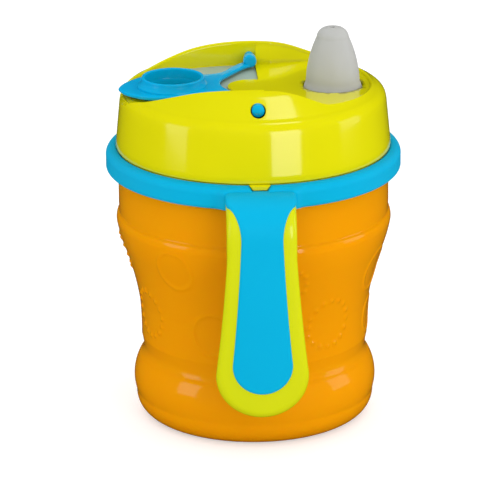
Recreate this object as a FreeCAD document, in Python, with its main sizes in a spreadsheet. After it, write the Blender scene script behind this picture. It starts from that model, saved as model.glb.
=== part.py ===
import FreeCAD, Part
import os
import types

import Sketcher

# A two-handled feeding cup in millimetres: amber beaker, screw lid, soft spout and flip cap.
# The origin is the middle of the foot, +Z is up, the handles lie along Y, the spout is towards +X.

doc = FreeCAD.newDocument("FeedingCup")

DRIVING_SIZES = [
    # Beaker
    ("collar_seat", 71.6, "height of the shoulder that carries the handle ring"),
    ("neck_radius", 34.8, "outside of the threaded neck"),
    ("neck_wall", 1.5, "wall of the neck"),
    ("neck_length", 18.6, "neck over its shoulder"),
    ("seat_width", 3.0, "width of the shoulder"),
    ("band_length", 13.6, "straight band under the shoulder"),
    ("bead_width", 4.4, "rounded bead under the band"),
    ("bead_inset", 0.6, "how much narrower the bead is at its lower edge"),
    ("bead_bow", 0.18, "how far the bead bows outwards"),
    ("waist_inset", 6.3, "how much narrower the waist is than the band"),
    ("waist_rise", 5.2, "narrowest place of the waist over the groove"),
    ("waist_sag", 1.3, "how far the waist bows inwards"),
    ("groove_depth", 0.7, "groove between base and waist"),
    ("groove_width", 3.2, "width of the groove"),
    ("groove_rise", 8.9, "groove over the widest place of the base"),
    ("bulge_inset", 4.2, "how much narrower the base is than the band"),
    ("bulge_rise", 4.1, "widest place of the base over its edge"),
    ("base_edge_inset", 0.4, "how much narrower the edge of the base is"),
    ("base_edge_height", 6.8, "height of that edge"),
    ("base_corner_bow", 1.3, "how far the base corner bows outwards"),
    ("foot_inset", 4.0, "how much narrower the foot is than that edge"),
    ("foot_width", 2.6, "ring that the cup stands on"),
    ("foot_recess", 1.0, "hollow under the floor"),
    ("floor_thickness", 2.0, "floor of the beaker"),
    ("cup_wall", 1.8, "wall of the beaker"),
    # Screw thread
    ("thread_lead", 9.0, "rise of the lid in one turn"),
    ("thread_starts", 3, "number of threads"),
    ("thread_depth", 0.7, "height of a thread ridge"),
    ("thread_width", 1.0, "width of a ridge at its root"),
    ("thread_crest", 0.4, "width of a ridge at its top"),
    ("thread_rise", 10.4, "where the neck threads start over the shoulder"),
    ("neck_thread_rise", 2.7, "height that one neck thread climbs"),
    ("lid_thread_rise", 1.5, "height that one lid thread climbs"),
    ("thread_play", 0.35, "axial play between the ridges"),
    ("thread_room", 0.4, "radial play between ridge and wall"),
    # Handle ring
    ("ring_play", 0.4, "radial play of the handle ring on the neck"),
    ("ring_thickness", 2.4, "inner ring"),
    ("ring_lift", 0.2, "height of the ring over its seat"),
    ("collar_thickness", 3.6, "collar around the inner ring"),
    ("collar_height", 6.6, "top of the collar over the seat"),
    ("collar_bottom_round", 1.2, "rounding of the lower edge"),
    ("collar_top_width", 1.2, "flat top of the collar"),
    ("collar_top_drop", 2.3, "height of the rounded upper edge"),
    ("key_width", 5.6, "lug of the lid that keys the handle ring"),
    ("key_depth", 1.4, "depth of the lug"),
    ("key_play", 0.35, "play of the lug in its notch"),
    ("key_reach", 1.2, "how far the lug stands out of the lid"),
    # Handles
    ("handle_neck_half_width", 9.5, "half width where a handle leaves the ring"),
    ("handle_swell", 2.7, "how much wider each side gets towards the end"),
    ("handle_drop", 56.2, "lower end of a handle under the shoulder"),
    ("handle_end_lift", 2.1, "widest place over the middle of the rounded end"),
    ("handle_standoff", 10.0, "outer face of a handle outside the collar"),
    ("handle_tip_inset", 1.4, "how far the lower end leans in"),
    ("handle_thickness", 6.4, "thickness of a handle"),
    ("handle_neck_thickness", 4.8, "thickness where it leaves the ring"),
    ("handle_bend_drop", 11.6, "height of the bend under the collar"),
    ("handle_narrow_drop", 3.0, "straight sides under the bend"),
    ("handle_bow", 0.5, "how far the faces of a handle bow"),
    ("handle_flare", 0.3, "how far its sides draw in"),
    ("handle_edge_round", 2.0, "rounding of the handle edges"),
    ("window_play", 0.25, "room around a handle in the collar"),
    ("grip_lap", 0.1, "how far the soft grip laps over the sides at the collar"),
    ("grip_flare_drop", 2.0, "where the flare of the grip starts"),
    ("grip_waist_inset", 3.8, "how much narrower the grip is at its narrow place"),
    ("grip_waist_drop", 12.6, "narrow place under the top of the handle"),
    ("grip_end_inset", 4.3, "yellow border beside the wide place of the grip"),
    ("grip_tip_rise", 6.4, "yellow border under the grip"),
    ("grip_end_lift", 1.3, "wide place over the middle of the rounded end"),
    ("grip_depth", 1.6, "how deep the grip sits in the handle"),
    ("grip_proud", 0.5, "how far the grip stands out"),
    # Lid
    ("lid_gap", 0.2, "gap between lid and collar"),
    ("lid_wall", 2.5, "wall of the skirt at its lower edge"),
    ("lid_taper", 1.2, "how much narrower the skirt is at the deck"),
    ("shoulder_rise", 3.2, "top of the rounded shoulder over the underside of the deck"),
    ("shoulder_inset", 1.8, "how far the shoulder rounds in"),
    ("crest_width", 13.4, "crest between the channel and the side"),
    ("crest_land", 0.2, "flat edge on top of a crest"),
    ("crest_rise", 9.85, "top of the crests over the underside of the deck"),
    ("dome_bow", 0.35, "how far the dome bows outwards"),
    ("dome_wall", 1.8, "wall of the dome"),
    ("ledge_inset", 0.9, "ledge over the rim, inside the neck"),
    ("channel_overrun", 0.8, "how far the channel's oval passes the side"),
    ("channel_step", 2.4, "how much narrower the floor is on each side of the spout"),
    ("channel_lean", 3.0, "how far the walls beside the spout lean out"),
    ("channel_end_gap", 4.7, "rim at the spout end of the channel"),
    ("channel_end_radius", 29.3, "rounding of that end"),
    ("channel_wall", 1.6, "wall of the channel"),
    ("deck_thickness", 3.0, "deck under the cap"),
    ("cap_floor_drop", 1.4, "fall of the floor to the rim on the cap side"),
    ("slope_lead", 4.25, "where that fall starts, before the middle of the cap"),
    ("floor_rise", 0.6, "step up to the floor of the spout side"),
    ("floor_step", 1.8, "place of that step"),
    ("tongue_half_width", 6.4, "rounded tongue of the floor between the cap arms"),
    ("tongue_gap", 2.0, "gap between the tongue and the fork of the cap"),
    # Flip cap and hinge
    ("pivot_rise", 2.5, "hinge of the cap over the floor"),
    ("cap_rim_rise", 1.25, "rim of the cap ring over the hinge"),
    ("cap_rim_room", 0.55, "room around the spout in the ring"),
    ("cap_wall", 1.05, "wall of the cap"),
    ("cap_foot_width", 1.0, "foot of the ring on the plate"),
    ("cap_room", 0.7, "room around the spout in the closed cap"),
    ("plate_thickness", 1.1, "plate of the cap"),
    ("plate_drop", 0.7, "top of the plate under the hinge"),
    ("plate_margin", 1.8, "plate beside the foot of the ring"),
    ("plate_neck_inset", 2.6, "how much narrower the neck of the plate is"),
    ("plate_bow", 0.8, "how far its sides bow towards the neck"),
    ("tab_drop", 1.0, "fall of the plate to the tip of the tab"),
    ("tab_overhang", 0.2, "tip of the tab outside the lid"),
    ("tab_round", 5.3, "length of the rounded tip"),
    ("tab_round_inset", 2.3, "how much narrower the plate is there"),
    ("fork_land", 3.45, "plate between the foot of the ring and the fork"),
    ("fork_room", 0.5, "fork beside the tongue"),
    ("arm_width", 2.3, "width of a fork arm"),
    ("arm_gap", 6.4, "inner face of a hinge eye inside the channel wall"),
    ("eye_length", 3.2, "length of a hinge eye"),
    ("eye_wall", 0.55, "wall of a hinge eye"),
    ("pin_radius", 1.3, "hinge pin"),
    ("pin_head_lap", 0.4, "head of the pin outside its shank"),
    ("pin_head_length", 2.1, "length of the head"),
    ("pin_inset", 6.2, "outer end of the pin inside the lid's side"),
    ("pin_play", 0.05, "radial play of the pin in the lid"),
    ("pin_head_room", 0.4, "gap around the head"),
    ("pin_head_gap", 0.1, "gap under the head"),
    ("boss_wall", 2.1, "boss in the crest around the pin"),
    ("well_gap", 0.45, "gap between the well and the neck"),
    ("well_wall", 1.0, "wall of the well for the cap"),
    ("well_room", 0.8, "room around the cap in its well"),
    ("well_floor_room", 0.7, "room under the cap in its well"),
    # Spout, valve and seals
    ("spout_base_radius", 8.1, "spout where it leaves the lid"),
    ("spout_wall", 1.5, "wall of the spout"),
    ("spout_low_rise", 0.7, "shoulder of the spout over the floor"),
    ("spout_low_taper", 0.9, "how much narrower it is there"),
    ("spout_mid_rise", 6.6, "middle of the spout over that shoulder"),
    ("spout_mid_taper", 0.6, "how much narrower it is there"),
    ("spout_tip_rise", 7.2, "edge of the tip over the middle"),
    ("spout_tip_taper", 2.5, "how much narrower it is there"),
    ("spout_tip_round", 2.2, "height of the rounded tip"),
    ("spout_hole_radius", 0.7, "drinking hole"),
    ("spout_hole_play", 0.15, "play of the spout in the deck"),
    ("flange_width", 1.2, "flange of the spout under the deck"),
    ("flange_thickness", 1.6, "thickness of the flange"),
    ("valve_thickness", 1.2, "valve disc under the flange"),
    ("valve_slit_length", 5.0, "slit in the valve disc"),
    ("valve_slit_width", 0.3, "width of the slit"),
    ("retainer_thickness", 1.8, "retaining ring under the valve"),
    ("retainer_width", 4.1, "width of the retaining ring"),
    ("socket_play", 0.1, "play of these pieces in their socket"),
    ("socket_wall", 0.9, "wall of the socket under the deck"),
    ("seal_thickness", 1.2, "sealing ring"),
    ("seal_gap", 0.1, "gap between the sealing ring and the rim"),
    ("seal_inset", 0.3, "sealing ring inside the neck"),
    ("seal_lap", 0.7, "sealing ring outside the neck"),
    ("pad_thickness", 0.6, "soft vent pad in the channel floor"),
    ("pad_end_gap", 0.5, "end of the pad before the fall of the floor"),
    ("pad_play", 0.15, "play around the pad"),
    ("vent_stem_radius", 1.5, "stem of the vent through the deck"),
    ("vent_bulb_lap", 0.9, "bulb that holds the stem"),
    ("vent_bulb_height", 1.2, "height of the bulb"),
    ("vent_lead", 13.25, "place of the vent before the middle of the cap"),
    ("vent_wall_gap", 8.8, "place of the vent inside the channel wall"),
]

sheet = doc.addObject("Spreadsheet::Sheet", "Sizes")
for row, (alias, number, note) in enumerate(DRIVING_SIZES, start=1):
    sheet.set(f"A{row}", alias)
    sheet.set(f"B{row}", str(number))
    sheet.set(f"C{row}", note)
    sheet.setAlias(f"B{row}", alias)
doc.recompute()


class Size:
    """A length that carries its number and its spreadsheet expression."""

    def __init__(self, number, text):
        self.number = float(number)
        self.text = text

    @classmethod
    def of(cls, other):
        return other if isinstance(other, Size) else cls(other, f"({other})")

    def __add__(self, other):
        other = Size.of(other)
        return Size(self.number + other.number, f"({self.text} + {other.text})")

    def __sub__(self, other):
        other = Size.of(other)
        return Size(self.number - other.number, f"({self.text} - {other.text})")

    def __mul__(self, other):
        other = Size.of(other)
        return Size(self.number * other.number, f"({self.text} * {other.text})")

    def __truediv__(self, other):
        other = Size.of(other)
        return Size(self.number / other.number, f"({self.text} / {other.text})")

    def __neg__(self):
        return Size(-self.number, f"(-1 * {self.text})")

    def __radd__(self, other):
        return Size.of(other) + self

    def __rsub__(self, other):
        return Size.of(other) - self

    def __rmul__(self, other):
        return Size.of(other) * self


def middle(one, other):
    return (Size.of(one) + other) / 2


size = types.SimpleNamespace(**{
    alias: Size(sheet.get(alias), f"Sizes.{alias}") for alias, _, _ in DRIVING_SIZES
})
# Beaker, from the shoulder and the neck
size.band_radius = size.neck_radius + size.seat_width
size.band_height = size.collar_seat - size.band_length
size.bead_radius = size.band_radius - size.bead_inset
size.bead_height = size.band_height - size.bead_width
size.bulge_radius = size.band_radius - size.bulge_inset
size.bulge_height = size.base_edge_height + size.bulge_rise
size.groove_height = size.bulge_height + size.groove_rise
size.waist_radius = size.band_radius - size.waist_inset
size.waist_height = size.groove_height + size.waist_rise
size.base_edge_radius = size.bulge_radius - size.base_edge_inset
size.foot_radius = size.base_edge_radius - size.foot_inset
size.neck_inner = size.neck_radius - size.neck_wall
size.neck_top = size.collar_seat + size.neck_length
size.thread_height = size.collar_seat + size.thread_rise

# Handle ring, from the neck
size.ring_radius = size.neck_radius + size.ring_play + size.ring_thickness
size.collar_radius = size.ring_radius + size.collar_thickness
size.handle_top = size.collar_seat + size.ring_lift + size.handle_neck_thickness
size.handle_half_width = size.handle_neck_half_width + size.handle_swell
size.handle_tip = size.collar_seat - size.handle_drop
size.handle_wide_height = size.handle_tip + size.handle_half_width + size.handle_end_lift
size.handle_bend_height = size.handle_top - size.handle_bend_drop
size.handle_narrow_height = size.handle_bend_height - size.handle_narrow_drop
size.handle_reach = size.collar_radius + size.handle_standoff
size.handle_tip_reach = size.handle_reach - size.handle_tip_inset
size.grip_neck_half_width = size.handle_neck_half_width + size.grip_lap
size.grip_flare_height = size.handle_top - size.grip_flare_drop
size.grip_waist_half_width = size.handle_neck_half_width - size.grip_waist_inset
size.grip_waist_height = size.handle_top - size.grip_waist_drop
size.grip_half_width = size.handle_half_width - size.grip_end_inset
size.grip_tip = size.handle_tip + size.grip_tip_rise
size.grip_wide_height = size.grip_tip + size.grip_half_width + size.grip_end_lift

# Lid, from the neck and the collar
size.lid_bottom = size.collar_seat + size.collar_height + size.lid_gap
size.skirt_inner_radius = size.neck_radius + size.thread_depth + size.thread_room
size.lid_bottom_radius = size.skirt_inner_radius + size.lid_wall
size.lid_shoulder_radius = size.lid_bottom_radius - size.lid_taper
size.deck_under = size.neck_top + size.seal_gap + size.seal_thickness
size.shoulder_height = size.deck_under + size.shoulder_rise
size.shoulder_radius = size.lid_shoulder_radius - size.shoulder_inset
size.channel_half_length = size.lid_shoulder_radius + size.channel_overrun
size.channel_half_width = size.lid_shoulder_radius - size.crest_width
size.spout_side_half_width = size.channel_half_width - size.channel_step
size.channel_end = size.lid_shoulder_radius - size.channel_end_gap
size.crest_radius = size.channel_half_width + size.crest_land
size.crest_height = size.deck_under + size.crest_rise
size.ledge_radius = size.neck_inner - size.ledge_inset
size.cap_floor = size.deck_under + size.deck_thickness
size.cap_floor_end = size.cap_floor - size.cap_floor_drop
size.spout_floor = size.cap_floor + size.floor_rise
size.seal_inner_radius = size.neck_inner - size.seal_inset
size.seal_outer_radius = size.neck_radius + size.seal_lap

# Spout, from its base on the deck
size.spout_low_radius = size.spout_base_radius - size.spout_low_taper
size.spout_low_height = size.spout_floor + size.spout_low_rise
size.spout_mid_radius = size.spout_low_radius - size.spout_mid_taper
size.spout_mid_height = size.spout_low_height + size.spout_mid_rise
size.spout_tip_radius = size.spout_mid_radius - size.spout_tip_taper
size.spout_tip_height = size.spout_mid_height + size.spout_tip_rise
size.spout_top = size.spout_tip_height + size.spout_tip_round
size.flange_radius = size.spout_base_radius + size.flange_width
size.retainer_bore = size.flange_radius - size.retainer_width
size.vent_bulb_radius = size.vent_stem_radius + size.vent_bulb_lap

# Flip cap, from the spout that it covers and the well that takes it
size.pivot_height = size.cap_floor + size.pivot_rise
size.cap_rim_radius = size.spout_low_radius + size.cap_rim_room
size.cap_rim_height = size.pivot_height + size.cap_rim_rise
size.cap_radius = size.cap_rim_radius + size.cap_wall
size.cap_foot_radius = size.cap_radius + size.cap_foot_width
size.well_radius = size.cap_radius + size.well_room + size.well_wall
size.spout_reach = size.neck_inner - size.well_gap - size.well_radius
size.fork_depth = size.spout_reach - size.cap_foot_radius - size.fork_land
size.tongue_reach = size.fork_depth - size.tongue_gap
size.cap_floor_slope_start = size.spout_reach - size.slope_lead
size.pad_length = size.cap_floor_slope_start - size.pad_end_gap
size.vent_along = size.spout_reach - size.vent_lead
size.vent_across = size.channel_half_width - size.vent_wall_gap
size.plate_half_width = size.cap_foot_radius + size.plate_margin
size.plate_neck_half_width = size.plate_half_width - size.plate_neck_inset
size.plate_top = size.pivot_height - size.plate_drop
size.tab_top = size.plate_top - size.tab_drop
size.tab_reach = size.lid_shoulder_radius + size.tab_overhang
size.tab_side_reach = size.tab_reach - size.tab_round
size.tab_side_half_width = size.plate_half_width - size.tab_round_inset
size.fork_half_width = size.tongue_half_width + size.fork_room
size.arm_inner = size.channel_half_width - size.arm_gap
size.eye_radius = size.pin_radius + size.eye_wall
size.pin_head_radius = size.pin_radius + size.pin_head_lap
size.pin_end = size.lid_shoulder_radius - size.pin_inset
size.pin_boss_radius = size.pin_radius + size.boss_wall

ZERO = Size(0, "0")
SKY = size.spout_top + size.collar_radius
FAR = size.collar_radius + size.handle_reach
CORNER_SHARE = 0.27


def bind(thing, prop, value):
    """Sets a property from the spreadsheet."""
    thing.setExpression(prop, Size.of(value).text)


def place(thing, x=ZERO, y=ZERO, z=ZERO):
    for axis, value in (("x", x), ("y", y), ("z", z)):
        bind(thing, f"Placement.Base.{axis}", value)
    return thing


def origin_plane(body, role):
    return next(feature for feature in body.Origin.OriginFeatures if feature.Role == role)


def hold(sketch, geometry, point, where):
    """Fixes one sketch point at two spreadsheet sizes."""
    for kind, value, axis in (("DistanceX", where[0], -2), ("DistanceY", where[1], -1)):
        value = Size.of(value)
        if value.text == ZERO.text:
            sketch.addConstraint(Sketcher.Constraint("PointOnObject", geometry, point, axis))
            continue
        index = sketch.addConstraint(
            Sketcher.Constraint(kind, -1, 1, geometry, point, value.number))
        sketch.setExpression(f"Constraints[{index}]", value.text)


def draw(body, name, role, path):
    """A closed sketch of lines and arcs: a step is a point, or a pair of an arc's middle and end."""
    sketch = body.newObject("Sketcher::SketchObject", name)
    sketch.AttachmentSupport = [(origin_plane(body, role), "")]
    sketch.MapMode = "FlatFace"

    def vector(where):
        return FreeCAD.Vector(Size.of(where[0]).number, Size.of(where[1]).number, 0)

    def is_arc(step):
        return isinstance(step[0], tuple)

    ends = [step[1] if is_arc(step) else step for step in path]
    joints = []
    for index, end in enumerate(ends):
        step = path[(index + 1) % len(path)]
        target = ends[(index + 1) % len(path)]
        if is_arc(step):
            arc = Part.ArcOfCircle(vector(end), vector(step[0]), vector(target))
            forward = arc.Axis.z > 0
            if not forward:
                arc = Part.ArcOfCircle(vector(target), vector(step[0]), vector(end))
            geometry = sketch.addGeometry(arc)
            joints.append((geometry, 1 if forward else 2, 2 if forward else 1))
            through = sketch.addGeometry(Part.Point(vector(step[0])), True)
            sketch.addConstraint(Sketcher.Constraint("PointOnObject", through, 1, geometry))
            hold(sketch, through, 1, step[0])
        else:
            geometry = sketch.addGeometry(Part.LineSegment(vector(end), vector(target)))
            joints.append((geometry, 1, 2))
    for index, (geometry, start, _) in enumerate(joints):
        before, _, finish = joints[index - 1]
        sketch.addConstraint(Sketcher.Constraint("Coincident", before, finish, geometry, start))
        hold(sketch, geometry, start, ends[index])
    return sketch


def corner(upright, level):
    """Middle of a rounded corner that leaves one end upright and the other end level."""
    return (upright[0] + (level[0] - upright[0]) * CORNER_SHARE,
            level[1] + (upright[1] - level[1]) * CORNER_SHARE)


def new_body(label):
    body = doc.addObject("PartDesign::Body", label)
    body.Label = label
    return body


def turned(label, path):
    """A body turned about Z from a profile of radius and height."""
    body = new_body(label)
    sketch = draw(body, f"{label}_profile", "XZ_Plane", path)
    turn = body.newObject("PartDesign::Revolution", f"{label}_turn")
    turn.Profile = sketch
    turn.ReferenceAxis = (sketch, ["V_Axis"])
    turn.Angle = 360
    return body


def pad(label, role, path, length, both_ways=False):
    """A straight block of a drawn outline."""
    body = new_body(label)
    sketch = draw(body, f"{label}_outline", role, path)
    block = body.newObject("PartDesign::Pad", f"{label}_pad")
    block.Profile = sketch
    block.SideType = "Symmetric" if both_ways else "One side"
    bind(block, "Length", length)
    return body


def oval_block(label, half_length, half_width, low, high):
    """An upright block of elliptical plan."""
    oval = doc.addObject("Part::Ellipse", f"{label}_plan")
    bind(oval, "MajorRadius", half_length)
    bind(oval, "MinorRadius", half_width)
    place(oval, z=low)
    block = doc.addObject("Part::Extrusion", label)
    block.Base = oval
    block.Dir = FreeCAD.Vector(0, 0, 1)
    block.DirMode = "Custom"
    bind(block, "LengthFwd", high - low)
    block.Solid = True
    return block


def rod(label, radius, length, x=ZERO, y=ZERO, z=ZERO, along_y=False):
    cylinder = doc.addObject("Part::Cylinder", label)
    bind(cylinder, "Radius", radius)
    bind(cylinder, "Height", length)
    if along_y:
        cylinder.Placement.Rotation = FreeCAD.Rotation(FreeCAD.Vector(1, 0, 0), -90)
    return place(cylinder, x, y, z)


def brick(label, low, high):
    """A box between two corners."""
    box = doc.addObject("Part::Box", label)
    for prop, near, far in zip(("Length", "Width", "Height"), low, high):
        bind(box, prop, Size.of(far) - near)
    return place(box, *low)


def join(label, *pieces):
    fused = doc.addObject("Part::MultiFuse", label)
    fused.Shapes = list(pieces)
    return fused


def shared(label, *pieces):
    overlap = doc.addObject("Part::MultiCommon", label)
    overlap.Shapes = list(pieces)
    return overlap


def without(label, base, *tools):
    cut = doc.addObject("Part::Cut", label)
    cut.Base = base
    cut.Tool = tools[0] if len(tools) == 1 else join(f"{label}_tools", *tools)
    return cut


def across(label, piece):
    """The mirror image on the other side of the XZ plane."""
    mirror = doc.addObject("Part::Mirroring", label)
    mirror.Source = piece
    mirror.Normal = FreeCAD.Vector(0, 1, 0)
    return mirror


def thread(body, root, depth, height, rise):
    """Helical ridges on a turned body; a negative depth makes them point inwards."""
    sunk = root - depth / 2
    half_root = size.thread_width / 2
    half_crest = size.thread_crest / 2
    sketch = draw(body, f"{body.Label}_thread_profile", "XZ_Plane", [
        (sunk, height - half_root),
        (root, height - half_root),
        (root + depth, height - half_crest),
        (root + depth, height + half_crest),
        (root, height + half_root),
        (sunk, height + half_root),
    ])
    doc.recompute()
    ridge = body.newObject("PartDesign::AdditiveHelix", f"{body.Label}_thread")
    ridge.Profile = sketch
    ridge.ReferenceAxis = (sketch, ["V_Axis"])
    ridge.Mode = "pitch-height-angle"
    bind(ridge, "Pitch", size.thread_lead)
    bind(ridge, "Height", rise)
    starts = body.newObject("PartDesign::PolarPattern", f"{body.Label}_starts")
    starts.Originals = [ridge]
    starts.Axis = (sketch, ["V_Axis"])
    starts.Angle = 360
    bind(starts, "Occurrences", size.thread_starts)
    body.Tip = starts


def beaker():
    """Blow-moulded amber beaker with its bulging base, drawn-in waist, band and threaded neck."""
    band_inner = size.band_radius - size.cup_wall
    waist_inner = size.waist_radius - size.cup_wall
    inside_floor = size.foot_recess + size.floor_thickness
    foot_inner = size.foot_radius - size.foot_width
    groove_low = size.groove_height - size.groove_width / 2
    groove_high = size.groove_height + size.groove_width / 2
    waist_mid = middle(size.waist_height, size.bead_height)
    waist_mid_radius = middle(size.waist_radius, size.bead_radius) - size.waist_sag
    corner_radius = middle(size.foot_radius, size.base_edge_radius) + size.base_corner_bow
    corner_height = middle(ZERO, size.base_edge_height) - size.base_corner_bow / 2
    bead_middle = (middle(size.bead_radius, size.band_radius) + size.bead_bow,
                   middle(size.bead_height, size.band_height))
    slope_top = size.collar_seat - size.cup_wall
    body = turned("cup_body", [
        (ZERO, size.foot_recess),
        (foot_inner - size.foot_recess, size.foot_recess),
        (foot_inner, ZERO),
        (size.foot_radius, ZERO),
        ((corner_radius, corner_height), (size.base_edge_radius, size.base_edge_height)),
        ((size.bulge_radius, size.bulge_height), (size.waist_radius, groove_low)),
        ((size.waist_radius - size.groove_depth, size.groove_height),
         (size.waist_radius, groove_high)),
        (size.waist_radius, size.waist_height),
        ((waist_mid_radius, waist_mid), (size.bead_radius, size.bead_height)),
        (bead_middle, (size.band_radius, size.band_height)),
        (size.band_radius, size.collar_seat),
        (size.neck_radius, size.collar_seat),
        (size.neck_radius, size.neck_top),
        (size.neck_inner, size.neck_top),
        (size.neck_inner, slope_top),
        (band_inner, slope_top - (band_inner - size.neck_inner)),
        (band_inner, size.band_height),
        (size.bead_radius - size.cup_wall, size.bead_height),
        ((waist_mid_radius - size.cup_wall, waist_mid), (waist_inner, size.waist_height)),
        (waist_inner, groove_low),
        ((size.bulge_radius - size.cup_wall, size.bulge_height),
         (size.base_edge_radius - size.cup_wall, size.base_edge_height)),
        (size.base_edge_radius - size.cup_wall * 2, inside_floor),
        (ZERO, inside_floor),
    ])
    thread(body, size.neck_radius, size.thread_depth, size.thread_height, size.neck_thread_rise)
    return body


def handle_outer(offset):
    """Outer face of a handle in side view, moved outwards: from the collar to below its tip."""
    root = (-size.collar_radius, size.handle_top + offset)
    bend = (-(size.handle_reach + offset), size.handle_bend_height)
    below = size.handle_tip - size.handle_thickness
    bow = middle(size.handle_reach, size.handle_tip_reach) + size.handle_bow
    return [
        root,
        (corner(bend, root), bend),
        ((-(bow + offset), middle(size.handle_bend_height, below)),
         (-(size.handle_tip_reach + offset), below)),
    ]


def reverse(path):
    """The same chain of points and arcs from its other end."""
    ends = [step[1] if isinstance(step[0], tuple) else step for step in path]
    back = [ends[-1]]
    for step, end in zip(reversed(path[1:]), reversed(ends[:-1])):
        back.append((step[0], end) if isinstance(step[0], tuple) else end)
    return back


def handle_core():
    """Drop handle on the -Y side, from the inner ring out and down to its free end."""
    wide_mid = middle(size.handle_narrow_height, size.handle_wide_height)
    side_mid = middle(size.handle_neck_half_width, size.handle_half_width) - size.handle_flare
    front = pad("handle_front", "XZ_Plane", [
        (size.handle_neck_half_width, SKY),
        (size.handle_neck_half_width, size.handle_narrow_height),
        ((side_mid, wide_mid), (size.handle_half_width, size.handle_wide_height)),
        ((ZERO, size.handle_tip), (-size.handle_half_width, size.handle_wide_height)),
        ((-side_mid, wide_mid), (-size.handle_neck_half_width, size.handle_narrow_height)),
        (-size.handle_neck_half_width, SKY),
    ], FAR * 2, both_ways=True)
    root = -middle(size.neck_radius + size.ring_play, size.ring_radius)
    under = size.collar_seat + size.ring_lift
    inner_bend = size.handle_bend_height - size.handle_thickness / 2
    inner_reach = size.handle_reach - size.handle_thickness
    outer = handle_outer(ZERO)
    tip = outer[-1][1]
    inner_bow = outer[-1][0]
    band = pad("handle_band", "YZ_Plane", [
        (root, size.handle_top),
        *outer,
        (tip[0] + size.handle_thickness, tip[1]),
        ((inner_bow[0] + size.handle_thickness, inner_bow[1]), (-inner_reach, inner_bend)),
        ((-(middle(inner_reach, size.collar_radius) + size.handle_bow),
          middle(under, inner_bend) + size.handle_bow), (-size.collar_radius, under)),
        (root, under),
    ], FAR, both_ways=True)
    return shared("handle_blank", front, band)


def rounded(label, piece, radius, wanted):
    """Rounds the edges that the test picks."""
    doc.recompute()
    fillet = doc.addObject("Part::Fillet", label)
    fillet.Base = piece
    fillet.Edges = [(index, radius.number, radius.number)
                    for index, edge in enumerate(piece.Shape.Edges, start=1) if wanted(edge)]
    return fillet


def handle_frame_and_grips():
    """Yellow inner ring with its two handles, and the soft grips let into them."""
    def long_outline_edge(edge):
        return edge.BoundBox.YMax < -size.collar_radius.number + 1e-6

    blank = rounded("handle_rounded", handle_core(), size.handle_edge_round, long_outline_edge)
    grip_mid = middle(size.grip_waist_height, size.grip_wide_height)
    grip_waist = (size.grip_waist_half_width, size.grip_waist_height)
    flare_mid, flare_height = corner(grip_waist, (size.grip_neck_half_width, size.grip_flare_height))
    side_mid = middle(size.grip_waist_half_width, size.grip_half_width) - size.handle_flare / 2
    outline = [
        (size.grip_neck_half_width, SKY),
        (size.grip_neck_half_width, size.grip_flare_height),
        ((flare_mid, flare_height), grip_waist),
        ((side_mid, grip_mid), (size.grip_half_width, size.grip_wide_height)),
        ((ZERO, size.grip_tip), (-size.grip_half_width, size.grip_wide_height)),
        ((-side_mid, grip_mid), (-size.grip_waist_half_width, size.grip_waist_height)),
        ((-flare_mid, flare_height), (-size.grip_neck_half_width, size.grip_flare_height)),
        (-size.grip_neck_half_width, SKY),
    ]
    front = pad("grip_front", "XZ_Plane", outline, FAR * 2, both_ways=True)
    skin = pad("grip_skin", "YZ_Plane",
               handle_outer(size.grip_proud) + reverse(handle_outer(-size.grip_depth)),
               FAR, both_ways=True)
    collar_core = rod("grip_collar_core", size.collar_radius, SKY)
    front_grip = without("front_grip", shared("grip_blank", front, skin), collar_core)
    rear_grip = across("rear_grip", front_grip)
    front_handle = without("front_handle_core", blank, front_grip)
    rear_handle = across("rear_handle_core", front_handle)
    ring_low = size.collar_seat + size.ring_lift
    ring_top = size.collar_seat + size.collar_height
    ring_inner = size.neck_radius + size.ring_play
    ring = turned("inner_ring", [
        (ring_inner, ring_low),
        (size.ring_radius, ring_low),
        (size.ring_radius, ring_top),
        (ring_inner, ring_top),
    ])
    frame = without("handle_frame", join("frame_blank", ring, front_handle, rear_handle),
                    key_notch("frame_notch"))
    return frame, front_grip, rear_grip


def key_notch(label):
    """Room for the lug of the lid in the top of the ring and the collar."""
    half = size.key_width / 2 + size.key_play
    return brick(label, (-half, -FAR, size.lid_bottom - size.key_depth - size.key_play),
                 (half, -size.neck_radius, SKY))


def collar():
    """Blue collar around the inner ring, open where the handles come through."""
    low = size.collar_seat + size.ring_lift
    high = size.collar_seat + size.collar_height
    top_edge = (size.ring_radius + size.collar_top_width, high)
    side_top = (size.collar_radius, high - size.collar_top_drop)
    side_low = (size.collar_radius, low + size.collar_bottom_round)
    low_edge = (size.collar_radius - size.collar_bottom_round, low)
    shell = turned("collar_blank", [
        (size.ring_radius, low),
        low_edge,
        (corner(side_low, low_edge), side_low),
        side_top,
        (corner(side_top, top_edge), top_edge),
        (size.ring_radius, high),
    ])
    half = size.handle_neck_half_width + size.window_play
    window = brick("collar_window", (-half, -FAR, -SKY),
                   (half, FAR, size.handle_top + size.window_play))
    return without("collar", shell, window, key_notch("collar_notch"))


def dome(label, inset, edge_radius):
    """Dome of the lid over its deck, or its inside when it is inset by the wall."""
    edge = (edge_radius, size.deck_under)
    shoulder = (size.shoulder_radius - inset, size.shoulder_height - inset)
    crest = (size.crest_radius - inset / 2, size.crest_height - inset)
    bow = (middle(shoulder[0], crest[0]) + size.dome_bow, middle(shoulder[1], crest[1]) + size.dome_bow)
    return turned(label, [
        (ZERO, size.deck_under),
        edge,
        (corner(edge, shoulder), shoulder),
        (bow, crest),
        (ZERO, crest[1]),
    ])


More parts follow.
